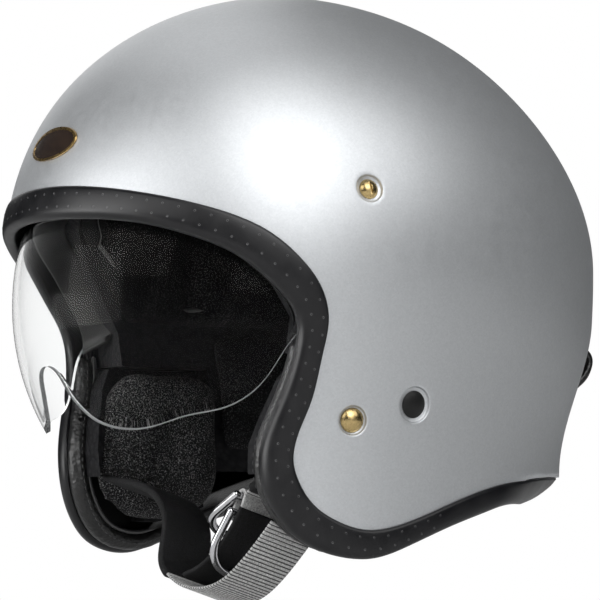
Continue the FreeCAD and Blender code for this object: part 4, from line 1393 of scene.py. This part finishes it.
def ring_loop():
    """Loop of webbing sewn round the straight bars of both rings."""
    width = 2 * (RING_R - RING_WIRE_R) - 1.0
    angle = np.linspace(-math.pi / 2, math.pi / 2, 14)
    a, b = (np.array(bar, float) for bar in RING_BARS)
    along = (b - a) / np.linalg.norm(b - a)
    out = np.array([-along[1], along[0]])
    reach = RING_WIRE_R + 0.3 + WEB_T / 2
    loop = [b + along * math.cos(t) * reach + out * math.sin(t) * reach for t in angle]
    loop += [a - along * math.cos(t) * reach - out * math.sin(t) * reach for t in angle]
    line = even(np.array(loop + loop[:1]), 120)
    normal = line_normals(line)
    corners = ((-1, -1), (-1, 1), (1, 1), (1, -1))
    columns = [strap_points(line + normal * t * WEB_T / 2, w * width / 2) for w, t in corners]
    return rounded(loft("strap_ring_loop", np.stack(columns, 1)[:-1], closed=True), 0.0004, 2, 40)


def make_straps():
    long_strap = band("strap_long_webbing", STRAP_LONG, WEB_W, WEB_T)
    finish_piece(long_strap, "chin_strap", WEBBING, ["strap_long"])
    paint_groove_shade(long_strap, STRAP_LONG, RIB_STEP)
    short = band("strap_short_webbing", STRAP_SHORT, WEB_W, WEB_T)
    short = join("strap_short_webbing", [short, ring_loop()])
    finish_piece(short, "chin_strap", WEBBING, ["strap_short"])
    paint_groove_shade(short, STRAP_SHORT, RIB_STEP)
    for name, route, width, thickness, step, from_s, to_s in PLAIN_BANDS:
        piece = band(name, route, width, thickness, False, step, from_s, to_s)
        finish_piece(piece, "chin_strap", BLACK_WEBBING)


# ---------------------------------------------------------------- goggle tab

TAB_HALF_W = 25.0
TAB_ROWS = 60
TAB_EDGE_W = 1.4
TAB_CORNER_R = 6.0
TAB_STITCH_IN = 3.2
TAB_OUTER = [(166.6, -19), (173.5, -19.3), (178.2, -24.5), (177.3, -30), (174.2, -35),
             (168.6, -39.5), (161, -45.5), (155.8, -51.5)]
TAB_INNER = [(166.6, -22), (172.4, -22.4), (175, -25.3), (174.2, -29), (171.3, -32.8),
             (166, -36.9), (159, -43), (154.2, -50.4)]


def follow_back(yz, x):
    """Shift side-view points so that they follow the shell's back across its width."""
    angle = math.pi - math.asin(abs(x) / OUTSIDE[1])
    there = dome_point(angle, yz[:, 1], OUTSIDE)[:, 1]
    here = dome_point(math.pi, yz[:, 1], OUTSIDE)[:, 1]
    return np.column_stack([np.full(len(yz), x), yz[:, 0] + there - here, yz[:, 1]])


def make_goggle_tab():
    """Leather tab with rounded corners and thinned edges, and a row of stitches at each side."""
    outer = smooth(TAB_OUTER, TAB_ROWS)
    inner = smooth(TAB_INNER, TAB_ROWS)
    middle = (outer + inner) / 2
    half = (outer - inner) / 2
    sections = []
    for x in np.linspace(-TAB_HALF_W, TAB_HALF_W, 61):
        near_end = (TAB_HALF_W - abs(x)) / TAB_EDGE_W
        thin = math.sqrt(1 - (1 - min(max(near_end, 0.05), 1)) ** 2)
        corner = max(0.0, abs(x) - (TAB_HALF_W - TAB_CORNER_R))
        cut = TAB_CORNER_R - math.sqrt(max(0.0, TAB_CORNER_R ** 2 - corner ** 2))
        keep = 1 - cut / chords(middle)[-1]
        part = np.linspace(0, keep, TAB_ROWS)
        grid = np.linspace(0, 1, TAB_ROWS)
        m = np.column_stack([np.interp(part, grid, middle[:, k]) for k in range(2)])
        h = np.column_stack([np.interp(part, grid, half[:, k]) for k in range(2)]) * thin
        end = np.sqrt(np.clip(1 - (np.clip((part - keep + 0.02) / 0.02, 0, 1)) ** 2, 0.05, 1))[:, None]
        loop = np.vstack([m + h * end, (m - h * end)[::-1]])
        sections.append(follow_back(loop, x))
    piece = loft("goggle_tab_leather", np.array(sections))
    finish_piece(piece, "goggle_flap", LEATHER, ["goggle_tab"])
    rows = []
    for sign in (-1, 1):
        path = outer[4:-5]
        line = follow_back(path, sign * (TAB_HALF_W - TAB_STITCH_IN))
        direction = np.gradient(path, axis=0)
        direction /= np.linalg.norm(direction, axis=1)[:, None]
        away = np.column_stack([np.zeros(len(path)), -direction[:, 1], direction[:, 0]])
        away *= np.sign((away[:, 1:] * half[4:-5]).sum(axis=1))[:, None]
        rows.append(stitches("row", line, away, 2.4, 1.3, 0.28))
    stitched = join("goggle_tab_stitches", rows)
    finish_piece(stitched, "goggle_flap", PIPING)


# ---------------------------------------------------------------- CAD pieces that stay

def dress_cad_nodes():
    looks = {"visor_screws": BRASS, "strap_rivets": BRASS, "tab_rivets": BRASS, "snap_stud": BRASS,
             "snap_cap": BRASS, "blanking_plugs": PLASTIC, "pad_snaps": PLASTIC, "impact_liner": FOAM,
             "cheek_block_left": FOAM, "cheek_block_right": FOAM, "visor_pin_left": PLASTIC,
             "visor_pin_right": PLASTIC, "visor_base_left": PLASTIC, "visor_base_right": PLASTIC,
             "strap_hanger_left": STEEL, "strap_hanger_right": STEEL, "d_ring_upper": CHROME,
             "d_ring_lower": CHROME, "badge_bezel": GOLD, "badge_plate": ENAMEL, "tab_mount": LEATHER}
    for name, material in looks.items():
        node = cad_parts[name]
        node.data.materials.clear()
        node.data.materials.append(material)


# ---------------------------------------------------------------- stage, light and camera

CAMERA_TURN = math.radians(56.0)
CAMERA_RISE = math.radians(-4.05)
CAMERA_DISTANCE = 1.4
LENS_MM = 173.6
CAMERA_SHIFT_X = 0.03
LIGHT_DISTANCE = 1.8
FLOOR_Z = -230.0
FLOOR_R = 2450.0
FLOOR_FADE = (0.35, 1.3)     # distance in metres over which the floor fades to white
SURROUNDINGS = 0.035         # strength of the white surroundings as a light


def view_axes():
    back = Vector((math.sin(CAMERA_TURN) * math.cos(CAMERA_RISE),
                   -math.cos(CAMERA_TURN) * math.cos(CAMERA_RISE), math.sin(CAMERA_RISE)))
    right = Vector((0, 0, 1)).cross(back).normalized()
    return right, back.cross(right), back


def make_camera():
    back = view_axes()[2]
    data = bpy.data.cameras.new("camera")
    data.lens = LENS_MM
    data.sensor_width = 36.0
    data.shift_x = CAMERA_SHIFT_X
    camera = bpy.data.objects.new("camera", data)
    camera.location = back * CAMERA_DISTANCE
    camera.rotation_euler = (-back).to_track_quat("-Z", "Y").to_euler()
    bpy.context.scene.collection.objects.link(camera)
    bpy.context.scene.camera = camera


def softbox(name, across, up_share, toward, power, width=1.1, height=1.1):
    """Area light placed relative to the camera's view and aimed at the helmet."""
    right, up, back = view_axes()
    place = (right * across + up * up_share + back * toward).normalized() * LIGHT_DISTANCE
    data = bpy.data.lights.new(name, "AREA")
    data.shape = "RECTANGLE"
    data.size = width
    data.size_y = height
    data.energy = power
    light = bpy.data.objects.new(name, data)
    light.location = place
    light.rotation_euler = (-place).to_track_quat("-Z", "Y").to_euler()
    bpy.context.scene.collection.objects.link(light)


def make_floor_material():
    """Pale matt floor that fades into the white backdrop away from the helmet."""
    pale = Material("pale_floor", (0.75, 0.75, 0.75), 0.8, **{"Specular IOR Level": 0.2})
    grain = pale.noise(6.0, 3.0)
    pale.colour(grain.outputs["Fac"], (0.73, 0.73, 0.73), (0.78, 0.78, 0.78), high=0.7)
    reach = pale.nodes.new("ShaderNodeVectorMath")
    reach.operation = "LENGTH"
    pale.link(pale.place, reach, 0)
    fade = pale.spread(reach.outputs["Value"], 0.0, 1.0, *FLOOR_FADE)
    path = pale.nodes.new("ShaderNodeLightPath")
    seen = pale.nodes.new("ShaderNodeMath")
    seen.operation = "MULTIPLY"
    pale.link(fade, seen, 0)
    pale.link(path.outputs["Is Camera Ray"], seen, 1)
    white = pale.node("ShaderNodeEmission", Color=(1, 1, 1, 1), Strength=1.0)
    mix = pale.nodes.new("ShaderNodeMixShader")
    pale.link(seen.outputs[0], mix, 0)
    pale.link(pale.shader.outputs[0], mix, 1)
    pale.link(white.outputs[0], mix, 2)
    pale.link(mix.outputs[0], pale.nodes["Material Output"], "Surface")
    return pale.material


def make_stage():
    """Backdrop that looks white but lights the helmet only faintly, and the floor."""
    world = bpy.data.worlds.new("studio")
    world.use_nodes = True
    nodes, links = world.node_tree.nodes, world.node_tree.links
    seen = nodes["Background"]
    seen.inputs["Color"].default_value = (1, 1, 1, 1)
    seen.inputs["Strength"].default_value = 1.0
    lit = nodes.new("ShaderNodeBackground")
    lit.inputs["Color"].default_value = (0.93, 0.97, 1.0, 1)
    lit.inputs["Strength"].default_value = SURROUNDINGS
    path = nodes.new("ShaderNodeLightPath")
    either = nodes.new("ShaderNodeMath")
    either.operation = "MAXIMUM"
    links.new(path.outputs["Is Camera Ray"], either.inputs[0])
    links.new(path.outputs["Is Transmission Ray"], either.inputs[1])
    mix = nodes.new("ShaderNodeMixShader")
    links.new(either.outputs[0], mix.inputs["Fac"])
    links.new(lit.outputs[0], mix.inputs[1])
    links.new(seen.outputs[0], mix.inputs[2])
    links.new(mix.outputs[0], nodes["World Output"].inputs["Surface"])
    bpy.context.scene.world = world
    bpy.context.scene.view_settings.view_transform = "Standard"
    angle = np.linspace(0, 2 * math.pi, 64, endpoint=False)
    ring = np.column_stack([np.cos(angle) * FLOOR_R, np.sin(angle) * FLOOR_R, np.full(64, FLOOR_Z)])
    floor = make_mesh("floor", ring, [list(range(64))], flat=True)
    floor.data.materials.append(make_floor_material())


def make_lights():
    softbox("overhead", 0.1, 0.9, 0.4, 6.0)
    softbox("key", 0.17, 0.65, 0.75, 12.0)
    softbox("front_high", -0.6, 0.5, 0.6, 7.5)
    softbox("front_side", -0.95, 0.3, 0.3, 3.0)
    softbox("left_side", -0.9, 0.1, 0.35, 13.0)
    softbox("rear_high", 0.6, 0.6, 0.4, 7.5)
    softbox("far_top", -0.2, 0.9, -0.35, 3.5)
    softbox("fill", 0.3, 0.4, 0.85, 6.0)
    softbox("left_strip", -1.0, -0.01, 0.12, 4.0, 1.0, 0.35)
    softbox("back_fill", -0.3, 0.5, -0.9, 3.5)


make_stage()
make_lights()
make_camera()
dress_cad_nodes()
make_shell()
trim_end = make_trim()
make_pits(trim_end)
make_lens()
make_brow_frame()
make_cheeks()
make_crown_lining()
make_neck_roll()
make_nape_lining()
make_straps()
make_goggle_tab()
